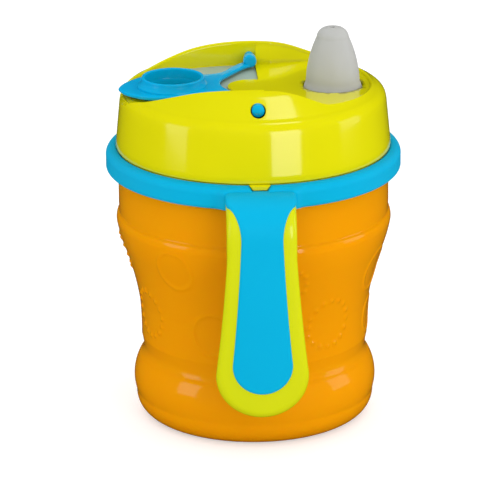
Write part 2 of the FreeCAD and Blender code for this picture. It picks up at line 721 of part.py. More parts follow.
def spout_space(label, low, room):
    """Spout side of the channel: walls that lean outwards and a round end, all wider by the room."""
    foot = size.spout_side_half_width + room
    top = foot + size.channel_lean
    block = pad(f"{label}_walls", "YZ_Plane", [
        (foot, low),
        (top, size.crest_height),
        (top, SKY),
        (-top, SKY),
        (-top, size.crest_height),
        (-foot, low),
    ], FAR)
    end = rod(f"{label}_end", size.channel_end_radius + room, SKY,
              x=size.channel_end - size.channel_end_radius)
    return shared(label, place(block, x=size.floor_step), end)


def channel_tool():
    """The hollow across the top of the lid in which the cap lies and the spout stands."""
    cap_side = oval_block("channel_cap_oval", size.channel_half_length, size.channel_half_width,
                          size.deck_under, SKY)
    cap_space = pad("cap_floor_profile", "XZ_Plane", [
        (-FAR, SKY),
        (-FAR, size.cap_floor_end),
        (-size.channel_half_length, size.cap_floor_end),
        (-size.cap_floor_slope_start, size.cap_floor),
        (size.floor_step, size.cap_floor),
        (size.floor_step, SKY),
    ], FAR * 2, both_ways=True)
    return join("channel", without("cap_channel", shared("cap_channel_blank", cap_side, cap_space),
                                   tongue("tongue_keep", ZERO)),
                spout_space("spout_channel", size.spout_floor, ZERO))


def tongue(label, room):
    """Rounded tongue of the spout side's floor that reaches between the arms of the cap."""
    half = size.tongue_half_width + room
    block = pad(label, "XY_Plane", [
        (size.floor_step, half),
        ((-size.tongue_reach - room, ZERO), (size.floor_step, -half)),
    ], size.spout_floor - size.deck_under)
    return place(block, z=size.deck_under)


def well(label, room, low, high):
    """Upright round pocket beside the hinge for the hollow of the cap."""
    return rod(label, size.cap_radius + room, high - low, x=-size.spout_reach, z=low)


def cap_bottom():
    """Lowest point of the open cap: the spout's tip turned about the hinge, with room and wall."""
    return size.pivot_height * 2 - size.spout_top - size.cap_room - size.cap_wall


def pin_pair(label, radius, inner, outer):
    """The same rod on both sides of the lid, along the hinge axis."""
    return [rod(f"{label}_{side}", radius, outer - inner, y=start, z=size.pivot_height, along_y=True)
            for side, start in (("rear", inner), ("front", -outer))]


def lid():
    """Yellow screw lid: skirt with thread, deck with its channel and cap well, and hollow crests."""
    skirt = turned("lid_skirt", [
        (size.skirt_inner_radius, size.lid_bottom),
        (size.lid_bottom_radius, size.lid_bottom),
        (size.lid_shoulder_radius, size.deck_under),
        (size.skirt_inner_radius, size.deck_under),
    ])
    thread(skirt, size.skirt_inner_radius, -size.thread_depth,
           size.thread_height - size.thread_width - size.thread_play, size.lid_thread_rise)
    outer_channel = oval_block("channel_walls", size.channel_half_length + size.channel_wall,
                               size.channel_half_width + size.channel_wall, size.deck_under, SKY)
    ledge_cut = turned("crest_hollow", [
        (ZERO, size.deck_under),
        (size.ledge_radius, size.deck_under),
        (size.ledge_radius, SKY),
        (ZERO, SKY),
    ])
    hollow = shared("crest_hollow_blank", ledge_cut,
                    dome("dome_inside", size.dome_wall, size.lid_shoulder_radius - size.dome_wall))
    crest_hollow = without("crest_hollows", hollow, outer_channel,
                           spout_space("spout_walls", size.deck_under, size.channel_wall),
                           *pin_pair("pin_boss", size.pin_boss_radius, size.arm_inner, FAR))
    top = without("lid_top", dome("dome_outside", ZERO, size.lid_shoulder_radius),
                  channel_tool(), crest_hollow)
    well_low = cap_bottom() - size.well_floor_room
    well_outside = well("well_outside", size.well_room + size.well_wall, well_low - size.well_wall,
                        size.deck_under)
    well_inside = well("well_inside", size.well_room, well_low, size.pivot_height)
    socket_inside = size.flange_radius + size.socket_play
    socket_low = size.deck_under - size.flange_thickness - size.valve_thickness - size.retainer_thickness
    socket = rod("spout_socket", socket_inside + size.socket_wall, size.deck_under - socket_low,
                 x=size.spout_reach, z=socket_low)
    key = shared("lid_key", turned("key_ring", [
        (size.skirt_inner_radius + size.ring_play, size.lid_bottom - size.key_depth),
        (size.lid_bottom_radius + size.key_reach, size.lid_bottom - size.key_depth),
        (size.lid_bottom_radius + size.key_reach, size.lid_bottom),
        (size.skirt_inner_radius + size.ring_play, size.lid_bottom),
    ]), brick("key_block", (-size.key_width / 2, -FAR, ZERO), (size.key_width / 2, ZERO, SKY)))
    vent_hole = rod("vent_hole", size.vent_stem_radius, size.pivot_height - size.deck_under,
                    x=-size.vent_along, y=size.vent_across, z=size.deck_under)
    return without(
        "lid_shell",
        join("lid_blank", skirt, top, well_outside, socket, key),
        well_inside,
        rod("socket_bore", socket_inside, size.deck_under - socket_low, x=size.spout_reach, z=socket_low),
        rod("spout_hole", size.spout_base_radius + size.spout_hole_play, SKY - socket_low,
            x=size.spout_reach, z=socket_low),
        pad_block("pad_pocket", ZERO),
        vent_hole,
        *pin_pair("pin_bore", size.pin_radius + size.pin_play, size.arm_inner, FAR),
        *pin_pair("pin_head_bore", size.pin_head_radius + size.pin_head_room,
                  size.pin_end - size.pin_head_length - size.pin_head_gap, FAR),
    )


def pad_block(label, play):
    """Space of the vent pad on the cap side's floor, around the tongue and the cap well."""
    plan = oval_block(f"{label}_oval", size.channel_half_length - play, size.channel_half_width - play,
                      size.cap_floor - size.pad_thickness, size.cap_floor)
    span = brick(f"{label}_span", (-size.pad_length + play, -FAR, ZERO), (size.floor_step - play, FAR, SKY))
    around_well = well(f"{label}_well", size.well_room + size.well_wall + play, ZERO, SKY)
    return without(label, shared(f"{label}_plan_span", plan, span),
                   tongue(f"{label}_tongue", play), around_well)


def vent():
    """Grey silicone pad that lies in the channel floor, with its vent stem through the deck."""
    stem_top = size.cap_floor - size.pad_thickness
    bulb_low = size.deck_under - size.vent_bulb_height
    spot = {"x": -size.vent_along, "y": size.vent_across}
    stem = rod("vent_stem", size.vent_stem_radius, stem_top - bulb_low, z=bulb_low, **spot)
    bulb = rod("vent_bulb", size.vent_bulb_radius, size.vent_bulb_height, z=bulb_low, **spot)
    return join("vent_pad", pad_block("vent_pad_sheet", size.pad_play), stem, bulb)


def spout_pieces():
    """Soft spout, its slit valve and the ring that holds both under the deck."""
    flange_low = size.deck_under - size.flange_thickness
    wall = size.spout_wall
    tip_edge = (size.spout_tip_radius, size.spout_tip_height)
    hole_edge = (size.spout_hole_radius, size.spout_top)
    spout = place(turned("spout", [
        (size.spout_base_radius - wall, flange_low),
        (size.flange_radius, flange_low),
        (size.flange_radius, size.deck_under),
        (size.spout_base_radius, size.deck_under),
        (size.spout_base_radius, size.spout_floor),
        (size.spout_low_radius, size.spout_low_height),
        ((size.spout_mid_radius, size.spout_mid_height), tip_edge),
        (corner(tip_edge, hole_edge), hole_edge),
        (size.spout_hole_radius, size.spout_top - wall),
        (size.spout_tip_radius - wall, size.spout_tip_height - wall / 2),
        ((size.spout_mid_radius - wall, size.spout_mid_height),
         (size.spout_low_radius - wall, size.spout_low_height)),
        (size.spout_base_radius - wall, size.spout_floor),
    ]), x=size.spout_reach)
    valve_low = flange_low - size.valve_thickness
    disc = rod("valve_disc", size.flange_radius, size.valve_thickness, x=size.spout_reach, z=valve_low)
    half = size.valve_slit_length / 2
    gap = size.valve_slit_width / 2
    slits = [brick(f"valve_slit_{name}", (size.spout_reach - along, -over, valve_low),
                   (size.spout_reach + along, over, flange_low))
             for name, along, over in (("across", gap, half), ("along", half, gap))]
    valve = without("spout_valve", disc, *slits)
    retainer_low = valve_low - size.retainer_thickness
    retainer = place(turned("spout_retainer", [
        (size.retainer_bore, ZERO),
        (size.flange_radius, ZERO),
        (size.flange_radius, size.retainer_thickness),
        (size.retainer_bore, size.retainer_thickness),
    ]), x=size.spout_reach, z=retainer_low)
    return spout, valve, retainer


def seal():
    """Soft ring between the ledge of the lid and the rim of the neck."""
    low = size.neck_top + size.seal_gap
    return turned("lid_seal", [
        (size.seal_inner_radius, low),
        (size.seal_outer_radius, low),
        (size.seal_outer_radius, size.deck_under),
        (size.seal_inner_radius, size.deck_under),
    ])


def flip_cap():
    """Blue cap, folded open: plate with finger tab, ring and hollow for the spout, and hinge arms."""
    high = middle(size.plate_top, size.tab_top)
    low = high - size.plate_thickness
    arm_low = size.plate_top - size.plate_thickness
    beyond_tab = size.tab_reach * 2 - size.fork_depth
    beyond_top = size.tab_top * 2 - size.plate_top
    arm_end = size.arm_inner + size.eye_length
    neck_start = size.spout_reach - size.plate_neck_half_width
    inner_root = -size.fork_depth + size.arm_width
    wide = size.spout_reach + size.arm_width

    def upper(sign):
        return [
            ((-size.tab_side_reach, sign * size.tab_side_half_width),
             (-wide, sign * size.plate_half_width)),
            ((-middle(wide, neck_start),
              sign * (middle(size.plate_half_width, size.plate_neck_half_width) + size.plate_bow)),
             (-neck_start, sign * size.plate_neck_half_width)),
            (-size.fork_depth, sign * size.plate_neck_half_width),
            (-size.eye_radius, sign * arm_end),
            (ZERO, sign * arm_end),
            (ZERO, sign * size.arm_inner),
            (inner_root, sign * size.fork_half_width),
        ]

    rear = upper(1)
    front = upper(-1)
    plan = pad("cap_plan", "XY_Plane", [
        (-size.tab_reach, ZERO),
        *rear,
        ((-size.fork_depth, ZERO), front[-1]),
        *reverse([(-size.tab_reach, ZERO)] + front)[1:-1],
    ], SKY)
    side = pad("cap_side", "XZ_Plane", [
        (-beyond_tab, beyond_top - size.plate_thickness),
        (-size.fork_depth, arm_low),
        (size.eye_radius, arm_low),
        (size.eye_radius, size.pivot_height + size.eye_radius / 2),
        (-size.eye_radius, size.pivot_height + size.eye_radius / 2),
        (-size.fork_depth, size.plate_top),
        (-beyond_tab, beyond_top),
    ], FAR * 2, both_ways=True)
    plate = shared("cap_plate", plan, side)
    eyes = pin_pair("cap_eye", size.eye_radius, size.arm_inner, arm_end)

    def closed(height):
        return size.pivot_height * 2 - height

    room = size.cap_room
    tip = (size.spout_tip_radius + room, closed(size.spout_tip_height))
    mid = (size.spout_mid_radius + room, closed(size.spout_mid_height))
    bottom = closed(size.spout_top) - room
    wall = size.cap_wall

    def hollow_path(grow):
        end = (ZERO, bottom - grow)
        side = (tip[0] + grow, tip[1])
        return [
            end,
            (corner(side, end), side),
            ((mid[0] + grow, mid[1]), (size.cap_rim_radius + grow, low)),
        ]

    rim = (size.cap_radius, size.cap_rim_height)
    foot = (size.cap_foot_radius, high)
    outside = place(turned("cap_outside", hollow_path(wall) + [
        (size.cap_foot_radius, low),
        foot,
        (corner(rim, foot), rim),
        (ZERO, size.cap_rim_height),
    ]), x=-size.spout_reach)
    inside = place(turned("cap_inside", hollow_path(ZERO) + [
        (size.cap_rim_radius, SKY),
        (ZERO, SKY),
    ]), x=-size.spout_reach)
    return without("flip_cap", join("cap_blank", plate, outside, *eyes), inside,
                   *pin_pair("cap_eye_bore", size.pin_radius, ZERO, FAR))


def hinge_pins():
    """Headed pins pushed through the crests from outside into the eyes of the cap."""
    head = size.pin_end - size.pin_head_length
    shanks = pin_pair("pin_shank", size.pin_radius, size.arm_inner, head)
    heads = pin_pair("pin_head", size.pin_head_radius, head, size.pin_end)
    return [join(label, shank, cap) for label, shank, cap
            in zip(("rear_pivot_pin", "front_pivot_pin"), shanks, heads)]


subparts = [
    beaker(),
    *handle_frame_and_grips(),
    collar(),
    lid(),
    seal(),
    *spout_pieces(),
    vent(),
    flip_cap(),
    *hinge_pins(),
]
doc.recompute()

for thing in doc.Objects:
    if "Invalid" in thing.State or "Error" in thing.State:
        raise RuntimeError(f"{thing.Label} failed: {thing.State}")
for piece in subparts:
    if piece.Shape.isNull() or not piece.Shape.isValid():
        raise RuntimeError(f"{piece.Label} has no valid shape")
    if len(piece.Shape.Solids) != 1:
        raise RuntimeError(f"{piece.Label} is {len(piece.Shape.Solids)} solids")

os.makedirs("parts", exist_ok=True)
for piece in subparts:
    piece.Shape.exportStep(f"parts/{piece.Label}.step")
    print(piece.Label, round(piece.Shape.Volume, 1))
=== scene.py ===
import math

import bmesh
import bpy
import numpy as np
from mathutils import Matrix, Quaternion, Vector
from mathutils.geometry import delaunay_2d_cdt


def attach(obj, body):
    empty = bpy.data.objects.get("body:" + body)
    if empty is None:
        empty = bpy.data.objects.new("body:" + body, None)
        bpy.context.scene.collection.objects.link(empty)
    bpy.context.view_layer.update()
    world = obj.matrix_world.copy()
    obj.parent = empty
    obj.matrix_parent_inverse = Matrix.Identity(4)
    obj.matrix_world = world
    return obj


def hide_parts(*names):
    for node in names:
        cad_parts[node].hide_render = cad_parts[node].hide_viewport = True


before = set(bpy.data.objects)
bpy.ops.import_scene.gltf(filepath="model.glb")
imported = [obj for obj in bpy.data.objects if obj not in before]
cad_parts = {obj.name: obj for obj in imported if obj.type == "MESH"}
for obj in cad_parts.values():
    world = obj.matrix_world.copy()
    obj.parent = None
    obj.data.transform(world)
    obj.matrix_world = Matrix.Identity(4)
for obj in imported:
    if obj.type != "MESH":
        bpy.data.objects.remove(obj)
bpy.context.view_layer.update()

# Beaker: blow-moulded from clear amber plastic in one piece, with a bulging base, a drawn-in waist
# with raised rings and rings of dots, a straight band and a threaded neck under the lid.

MM = 0.001
BEAKER_SIDES = 480
NECK_RADIUS = 34.8
JOIN_DISTANCE = 0.002


def arc(start, middle, end, spacing):
    """Points of the circle through three points, without its start."""
    (ax, ay), (bx, by), (cx, cy) = start, middle, end
    twice = 2 * (ax * (by - cy) + bx * (cy - ay) + cx * (ay - by))
    a2, b2, c2 = ax * ax + ay * ay, bx * bx + by * by, cx * cx + cy * cy
    ux = (a2 * (by - cy) + b2 * (cy - ay) + c2 * (ay - by)) / twice
    uy = (a2 * (cx - bx) + b2 * (ax - cx) + c2 * (bx - ax)) / twice
    radius = math.hypot(ax - ux, ay - uy)
    first = math.atan2(ay - uy, ax - ux)
    way = 1 if twice > 0 else -1
    sweep = (math.atan2(cy - uy, cx - ux) - first) * way % math.tau
    steps = max(2, math.ceil(radius * sweep / spacing))
    turns = [first + way * sweep * step / steps for step in range(1, steps + 1)]
    return [(ux + radius * math.cos(turn), uy + radius * math.sin(turn)) for turn in turns]


def profile(path, spacing):
    """A line of points: a step is a corner, or a pair of an arc's middle and its end."""
    points = [path[0]]
    for step in path[1:]:
        start = points[-1]
        if isinstance(step[0], tuple):
            points += arc(start, step[0], step[1], spacing)
            continue
        steps = max(1, math.ceil(math.dist(start, step) / spacing))
        points += [tuple(np.add(start, np.subtract(step, start) * part / steps))
                   for part in range(1, steps + 1)]
    return np.array(points)


def piece(name, points, faces):
    """A smooth mesh object from points in millimetres; points that meet are joined."""
    mesh = bpy.data.meshes.new(name)
    mesh.from_pydata((np.asarray(points) * MM).tolist(), [], faces)
    shape = bmesh.new()
    shape.from_mesh(mesh)
    bmesh.ops.remove_doubles(shape, verts=shape.verts, dist=JOIN_DISTANCE * MM)
    bmesh.ops.recalc_face_normals(shape, faces=shape.faces)
    for face in shape.faces:
        face.smooth = True
    shape.to_mesh(mesh)
    shape.free()
    made = bpy.data.objects.new(name, mesh)
    bpy.context.scene.collection.objects.link(made)
    return made


def band_faces(rows, sides, closed):
    """Quads between rows of points that go round; closed joins the last row to the first."""
    faces = []
    for row in range(rows if closed else rows - 1):
        this, following = row * sides, (row + 1) % rows * sides
        for side in range(sides):
            after = (side + 1) % sides
            faces.append((this + side, this + after, following + after, following + side))
    return faces


def turned(line, sides, closed=False, centre=(0.0, 0.0)):
    """Points and faces of a line of radius and height turned about an upright axis."""
    turns = np.arange(sides) * math.tau / sides
    radius, height = np.asarray(line).T
    x = centre[0] + radius[:, None] * np.cos(turns)
    y = centre[1] + radius[:, None] * np.sin(turns)
    z = np.repeat(height[:, None], sides, axis=1)
    return np.stack([x, y, z], axis=2).reshape(-1, 3), band_faces(len(line), sides, closed)


def merged(*shells):
    """Several shells of points and faces as one."""
    points, faces = [], []
    for more_points, more_faces in shells:
        start = sum(len(some) for some in points)
        points.append(np.asarray(more_points))
        faces += [tuple(start + index for index in face) for face in more_faces]
    return np.concatenate(points), faces


THREAD_LEAD = 9.0
THREAD_STARTS = 3
THREAD_DEPTH = 0.7
THREAD_SINK = 0.1
THREAD_ROWS = 70
THREAD_FADE = 10
THREAD_FORM = [
    # share of the depth, height
    (0.0, -0.5),
    (1.0, -0.2),
    (1.0, 0.2),
    (0.0, 0.5),
]
NECK_THREAD_LOW = 82.5
NECK_THREAD_RISE = 2.7


def helix(radius, depth, low, rise):
    """Ridges of a screw thread that fade out at both ends; with a negative depth they stand inwards."""
    shells = []
    sink = THREAD_SINK * np.sign(depth)
    width = len(THREAD_FORM)
    for start in range(THREAD_STARTS):
        share = np.linspace(0, 1, THREAD_ROWS)
        turn = math.tau * (start / THREAD_STARTS + share * rise / THREAD_LEAD)
        fade = np.clip(np.minimum(share, 1 - share) * THREAD_FADE, 0, 1)
        level = low + share * rise
        points = []
        for at, up, size in zip(turn, level, fade):
            for out, height in THREAD_FORM:
                reach = radius - sink + (depth + sink) * out * size
                points.append((reach * math.cos(at), reach * math.sin(at), up + height))
        faces = [(row + side, row + side + 1, row + width + side + 1, row + width + side)
                 for row in range(0, width * (THREAD_ROWS - 1), width) for side in range(width - 1)]
        shells.append((points, faces))
    return merged(*shells)


WAIST_LOW = 22.0
WAIST_HIGH = 56.0
RING_RISE = 0.28
RING_SOFTNESS = 0.48
DOT_RISE = 0.48
DOT_SOFTNESS = 0.6
RAISED_RINGS = [
    # bearing in degrees, height, radius
    (-129.5, 50.6, 5.7),
    (-20.0, 45.0, 6.0),
    (-113.0, 32.0, 6.2),
    (-12.0, 30.0, 5.0),
    (28.0, 49.0, 5.8),
    (52.0, 36.0, 6.1),
    (128.0, 47.5, 6.0),
    (163.0, 32.0, 5.6),
]
DOT_RINGS = [
    # bearing in degrees, height, radius, dots
    (-53.0, 33.6, 6.9, 16),
    (-157.0, 33.3, 6.6, 16),
    (88.0, 34.0, 6.9, 16),
    (-76.0, 47.8, 4.6, 12),
    (-178.0, 48.5, 4.8, 12),
    (20.0, 33.5, 6.4, 16),
]


def relief(points):
    """How far the ornament stands out of the waist at each point."""
    bearing = np.degrees(np.arctan2(points[:, 1], points[:, 0]))
    reach = np.hypot(points[:, 0], points[:, 1])
    height = points[:, 2]
    out = np.zeros(len(points))

    def flat(centre, level):
        round_way = (bearing - centre + 180) % 360 - 180
        return np.radians(round_way) * reach, height - level

    for centre, level, radius in RAISED_RINGS:
        across, up = flat(centre, level)
        out += RING_RISE * np.exp(-((np.hypot(across, up) - radius) / RING_SOFTNESS) ** 2)
    for centre, level, radius, dots in DOT_RINGS:
        across, up = flat(centre, level)
        for dot in range(dots):
            turn = math.tau * dot / dots
            away = np.hypot(across - radius * math.cos(turn), up - radius * math.sin(turn))
            out += DOT_RISE * np.exp(-(away / DOT_SOFTNESS) ** 2)
    return out


outside = profile([
    (0.0, 1.2),
    (24.4, 1.2),
    ((25.6, 0.85), (26.4, 0.25)),
    ((27.2, 0.0), (28.4, 0.0)),
    ((31.9, 2.1), (33.4, 6.8)),
    ((34.05, 10.9), (32.4, 17.2)),
    ((31.4, 18.9), (31.25, 20.2)),
    ((31.45, 21.7), (31.8, 23.4)),
    ((31.85, 27.5), (32.25, 33.7)),
    ((33.7, 40.9), (36.35, 49.6)),
    ((37.65, 53.6), (38.3, 56.4)),
    ((38.45, 58.0), (38.15, 59.3)),
    ((37.72, 59.7), (37.7, 60.3)),
    ((37.75, 61.5), (37.78, 62.5)),
    (37.78, 70.4),
    ((37.45, 71.3), (36.6, 71.6)),
    (NECK_RADIUS, 71.6),
    (NECK_RADIUS, 89.8),
    ((34.65, 90.1), (34.3, 90.2)),
], spacing=0.42)
inside = profile([
    (33.8, 90.2),
    ((33.4, 90.1), (33.3, 89.8)),
    (33.3, 69.8),
    (35.95, 67.2),
    (35.95, 56.6),
    ((34.9, 52.0), (34.15, 49.6)),
    ((31.55, 40.9), (30.15, 33.7)),
    ((29.75, 27.5), (29.7, 23.4)),
    ((29.2, 20.2), (30.2, 17.2)),
    ((31.8, 10.9), (31.3, 6.7)),
    ((30.4, 4.0), (28.6, 3.1)),
    (0.0, 3.0),
], spacing=0.9)
points, faces = turned(np.concatenate([outside, inside]), BEAKER_SIDES)
on_outside = np.arange(len(points)) < len(outside) * BEAKER_SIDES
waist = (points[:, 2] > WAIST_LOW) & (points[:, 2] < WAIST_HIGH) & on_outside
raised = relief(points[waist])
points[waist, :2] *= (1 + raised / np.hypot(points[waist, 0], points[waist, 1]))[:, None]
neck_thread = helix(NECK_RADIUS, THREAD_DEPTH, NECK_THREAD_LOW, NECK_THREAD_RISE)
beaker = piece("beaker", *merged((points, faces), neck_thread))


# Sockets of the Mix node when it mixes colours.
MIX_SHARE = 0
MIX_FIRST = 6
MIX_SECOND = 7
MIX_COLOUR = 2


class Wire:
    """A socket of a finish. Sums and products of wires add the Math nodes that they need."""

    def __init__(self, tree, socket=None):
        self.tree = tree
        self.socket = socket

    def add(self, kind, settings, sockets, out=0):
        """Any other node: its kind, its settings, its sockets' values or wires, and the output used."""
        node = self.tree.nodes.new(kind)
        for key, value in settings.items():
            setattr(node, key, value)
        for key, value in sockets.items():
            if isinstance(value, Wire):
                self.tree.links.new(value.socket, node.inputs[key])
            else:
                node.inputs[key].default_value = value
        return Wire(self.tree, node.outputs[out] if node.outputs else None)

    def math(self, operation, one, other):
        return self.add("ShaderNodeMath", {"operation": operation}, {0: one, 1: other})

    def blend(self, share, one, other):
        """A colour between two."""
        inputs = {MIX_SHARE: share, MIX_FIRST: one, MIX_SECOND: other}
        return self.add("ShaderNodeMix", {"data_type": "RGBA"}, inputs, MIX_COLOUR)

    def __add__(self, other):
        return self.math("ADD", self, other)

    def __radd__(self, other):
        return self.math("ADD", other, self)

    def __mul__(self, other):
        return self.math("MULTIPLY", self, other)

    def __rmul__(self, other):
        return self.math("MULTIPLY", other, self)


GRAIN_STEP = 0.0002


def finish(name, dark, light, patches, rough, rough_change, grain, grain_depth, shader):
    """A moulded plastic: two near shades in soft patches, uneven polish and a fine grain."""
    material = bpy.data.materials.new(name)
    material.use_nodes = True
    tree = material.node_tree
    tree.nodes.clear()
    start = Wire(tree)
    place = start.add("ShaderNodeTexCoord", {}, {}, "Object")
    cloud = start.add("ShaderNodeTexNoise", {}, {"Vector": place, "Scale": patches, "Detail": 3.0}, 0)
    shade = start.blend(cloud, (*dark, 1), (*light, 1))
    fine = start.add("ShaderNodeTexNoise", {}, {"Vector": place, "Scale": grain, "Detail": 2.0}, 0)
    bump = start.add("ShaderNodeBump", {}, {"Height": fine, "Strength": grain_depth, "Distance": GRAIN_STEP})
    start.add("ShaderNodeOutputMaterial", {}, {
        "Surface": start.add("ShaderNodeBsdfPrincipled", {}, {
            "Base Color": shade,
            "Roughness": cloud * rough_change + rough,
            "Normal": bump,
            **shader,
        }),
    })
    return material


def wear(made, material, body, slot, *nodes):
    """Gives a piece its finish, the body that it moves with and the solids that it stands for."""
    made.data.materials.clear()
    made.data.materials.append(material)
    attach(made, body)
    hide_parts(*nodes)


amber = finish("clear_amber", dark=(0.97, 0.345, 0.0004), light=(0.99, 0.38, 0.0008),
               patches=22.0, rough=0.07, rough_change=0.05, grain=900.0, grain_depth=0.03, shader={
    "IOR": 1.46,
    "Specular IOR Level": 0.5,
    "Transmission Weight": 0.18,
    "Subsurface Weight": 0.25,
    "Subsurface Radius": (0.012, 0.005, 0.001),
    "Subsurface Scale": 0.35,
})
wear(beaker, amber, "cup", "amber_plastic", "cup_body")


# Handle ring: one yellow moulding of an inner ring, loose on the neck over its shoulder, and a drop
# handle at front and rear. It is hidden under the collar apart from the borders of the handles.

HANDLE_HALF_WIDTH = 9.5
HANDLE_STRAIGHT_END = 62.0
HANDLE_TIP_HALF_WIDTH = 12.5
HANDLE_TIP_START = 29.7
HANDLE_TIP = 15.0
HANDLE_ROUNDING = 2.0
HANDLE_STEPS = 200
HANDLE_SMOOTHING = 6
STRAP_ACROSS = 15
STRAP_ROUND_STEPS = 8
RING_SIDES = 240


def mirrored(shell):
    """The same shell on the other side of the cup."""
    points, faces = shell
    return np.asarray(points) * (1, -1, 1), faces


def along(line, count):
    """The same line in equal steps."""
    line = np.asarray(line)
    way = np.concatenate([[0], np.cumsum(np.linalg.norm(np.diff(line, axis=0), axis=1))])
    steps = np.linspace(0, way[-1], count)
    return np.stack([np.interp(steps, way, part) for part in line.T], axis=1)


def shifted(line, amount):
    """The same line moved to its left."""
    ahead = np.gradient(line, axis=0)
    left = np.stack([-ahead[:, 1], ahead[:, 0]], axis=1)
    return line + amount * left / np.linalg.norm(left, axis=1)[:, None]


def rounded_off(line, reach):
    """The same values with their corners averaged away."""
    weights = np.ones(2 * reach + 1) / (2 * reach + 1)
    padded = np.concatenate([np.repeat(line[:1], reach, axis=0), line, np.repeat(line[-1:], reach, axis=0)])
    return np.stack([np.convolve(part, weights, "valid") for part in padded.T], axis=1)


def strap(outer, inner, edge, rounding):
    """A bent flat bar: lines of its two faces in side view, its edge across and along, its rounding."""
    way = np.concatenate([[0], np.cumsum(np.linalg.norm(np.diff(outer, axis=0), axis=1))])
    inwards = shifted(edge, 1.0) - edge
    quarter = np.linspace(0, math.pi / 2, STRAP_ROUND_STEPS)
    inset = rounding * (1 - np.sin(quarter))
    sink = rounding * (1 - np.cos(quarter))
    loop = [(side, rounding, 0.0, 1) for side in np.linspace(-1, 1, STRAP_ACROSS)[1:-1]]
    loop += [(1.0, into, down, 1) for into, down in zip(inset, sink)]
    loop += [(1.0, into, down, -1) for into, down in zip(inset[::-1], sink[::-1])]
    loop += [(side, rounding, 0.0, -1) for side in np.linspace(1, -1, STRAP_ACROSS)[1:-1]]
    loop += [(-1.0, into, down, -1) for into, down in zip(inset, sink)]
    loop += [(-1.0, into, down, 1) for into, down in zip(inset[::-1], sink[::-1])]
    points = []
    for place, normal in zip(edge, inwards):
        for side, into, down, face in loop:
            across, at = place + normal * into
            top = np.array([np.interp(at, way, outer[:, axis]) for axis in (0, 1)])
            under = np.array([np.interp(at, way, inner[:, axis]) for axis in (0, 1)])
            thick = np.linalg.norm(top - under)
            share = 0.5 + face * (0.5 - down / thick)
            out, height = under + (top - under) * share
            points.append((max(across, 0.0) * side, -out, height))
    return points, band_faces(len(edge), len(loop), closed=False)


handle_outer = rounded_off(along(np.concatenate([
    [(37.0, 76.6)],
    profile([(41.2, 76.6), ((48.5, 73.5), (51.2, 65.0))], spacing=0.2),
    profile([(51.2, 65.0), ((51.0, 37.0), (49.8, 9.0))], spacing=0.5)[1:],
]), HANDLE_STEPS), HANDLE_SMOOTHING)
handle_inner = rounded_off(along(np.concatenate([
    [(37.0, 71.8)],
    profile([(41.2, 71.8), ((43.5, 67.4), (44.8, 61.8))], spacing=0.2),
    profile([(44.8, 61.8), ((44.6, 37.0), (43.4, 9.0))], spacing=0.5)[1:],
]), HANDLE_STEPS), HANDLE_SMOOTHING)
handle_way = np.concatenate([[0], np.cumsum(np.linalg.norm(np.diff(handle_outer, axis=0), axis=1))])


def way_at(height):
    """How far along the handle a height is."""
    return float(np.interp(-height, -handle_outer[:, 1], handle_way))


TIP_SPACING = 0.45
TIP_GAP = 0.05


def tip_arc(half_width, start, tip):
    """Half of the rounded end of a handle, from its side to its middle."""
    whole = arc((half_width, way_at(start)), (0.0, way_at(tip)), (-half_width, way_at(start)), TIP_SPACING)
    return [place for place in whole if place[0] > TIP_GAP] + [(0.0, way_at(tip))]


straight_end = (HANDLE_HALF_WIDTH, way_at(HANDLE_STRAIGHT_END))
handle_edge = np.concatenate([
    along(profile([(HANDLE_HALF_WIDTH, 0.0), straight_end], spacing=0.8), count=30)[:-1],
    along(profile([
        straight_end,
        ((10.8, way_at(45.8)), (HANDLE_TIP_HALF_WIDTH, way_at(HANDLE_TIP_START))),
    ], spacing=0.5), count=40),
    tip_arc(HANDLE_TIP_HALF_WIDTH, HANDLE_TIP_START, HANDLE_TIP),
])
handle = strap(handle_outer, handle_inner, handle_edge, HANDLE_ROUNDING)
ring = turned([
    (35.2, 72.0),
    (37.6, 72.0),
    (37.6, 78.0),
    (37.4, 78.2),
    (35.4, 78.2),
    (35.2, 78.0),
], RING_SIDES, closed=True)
handle_ring = piece("handle_ring", *merged(handle, mirrored(handle), ring))
lime = finish("lime_yellow", dark=(0.53, 0.585, 0.0006), light=(0.62, 0.64, 0.001),
              patches=24.0, rough=0.16, rough_change=0.06, grain=1400.0, grain_depth=0.02, shader={
    "IOR": 1.5,
    "Subsurface Weight": 0.12,
    "Subsurface Radius": (0.004, 0.003, 0.0004),
    "Subsurface Scale": 0.3,
})
wear(handle_ring, lime, "handle_ring", "yellow_plastic", "handle_frame")


# Soft grips: blue soft plastic moulded onto the outer faces of the handles, a little proud, as wide
# as the handle at the collar and then drawn in to a long pad with a rounded end.

GRIP_LAP = 0.12
GRIP_PROUD = 0.5
GRIP_DEPTH = 1.6
GRIP_ROUNDING = 0.8
GRIP_SMOOTHING = 4
GRIP_START = 2.0
GRIP_SHOULDER = 75.2
GRIP_NECK_HALF_WIDTH = 5.8
GRIP_NECK = 64.0
GRIP_TIP_HALF_WIDTH = 8.15
GRIP_TIP_START = 31.0
GRIP_TIP = 21.3

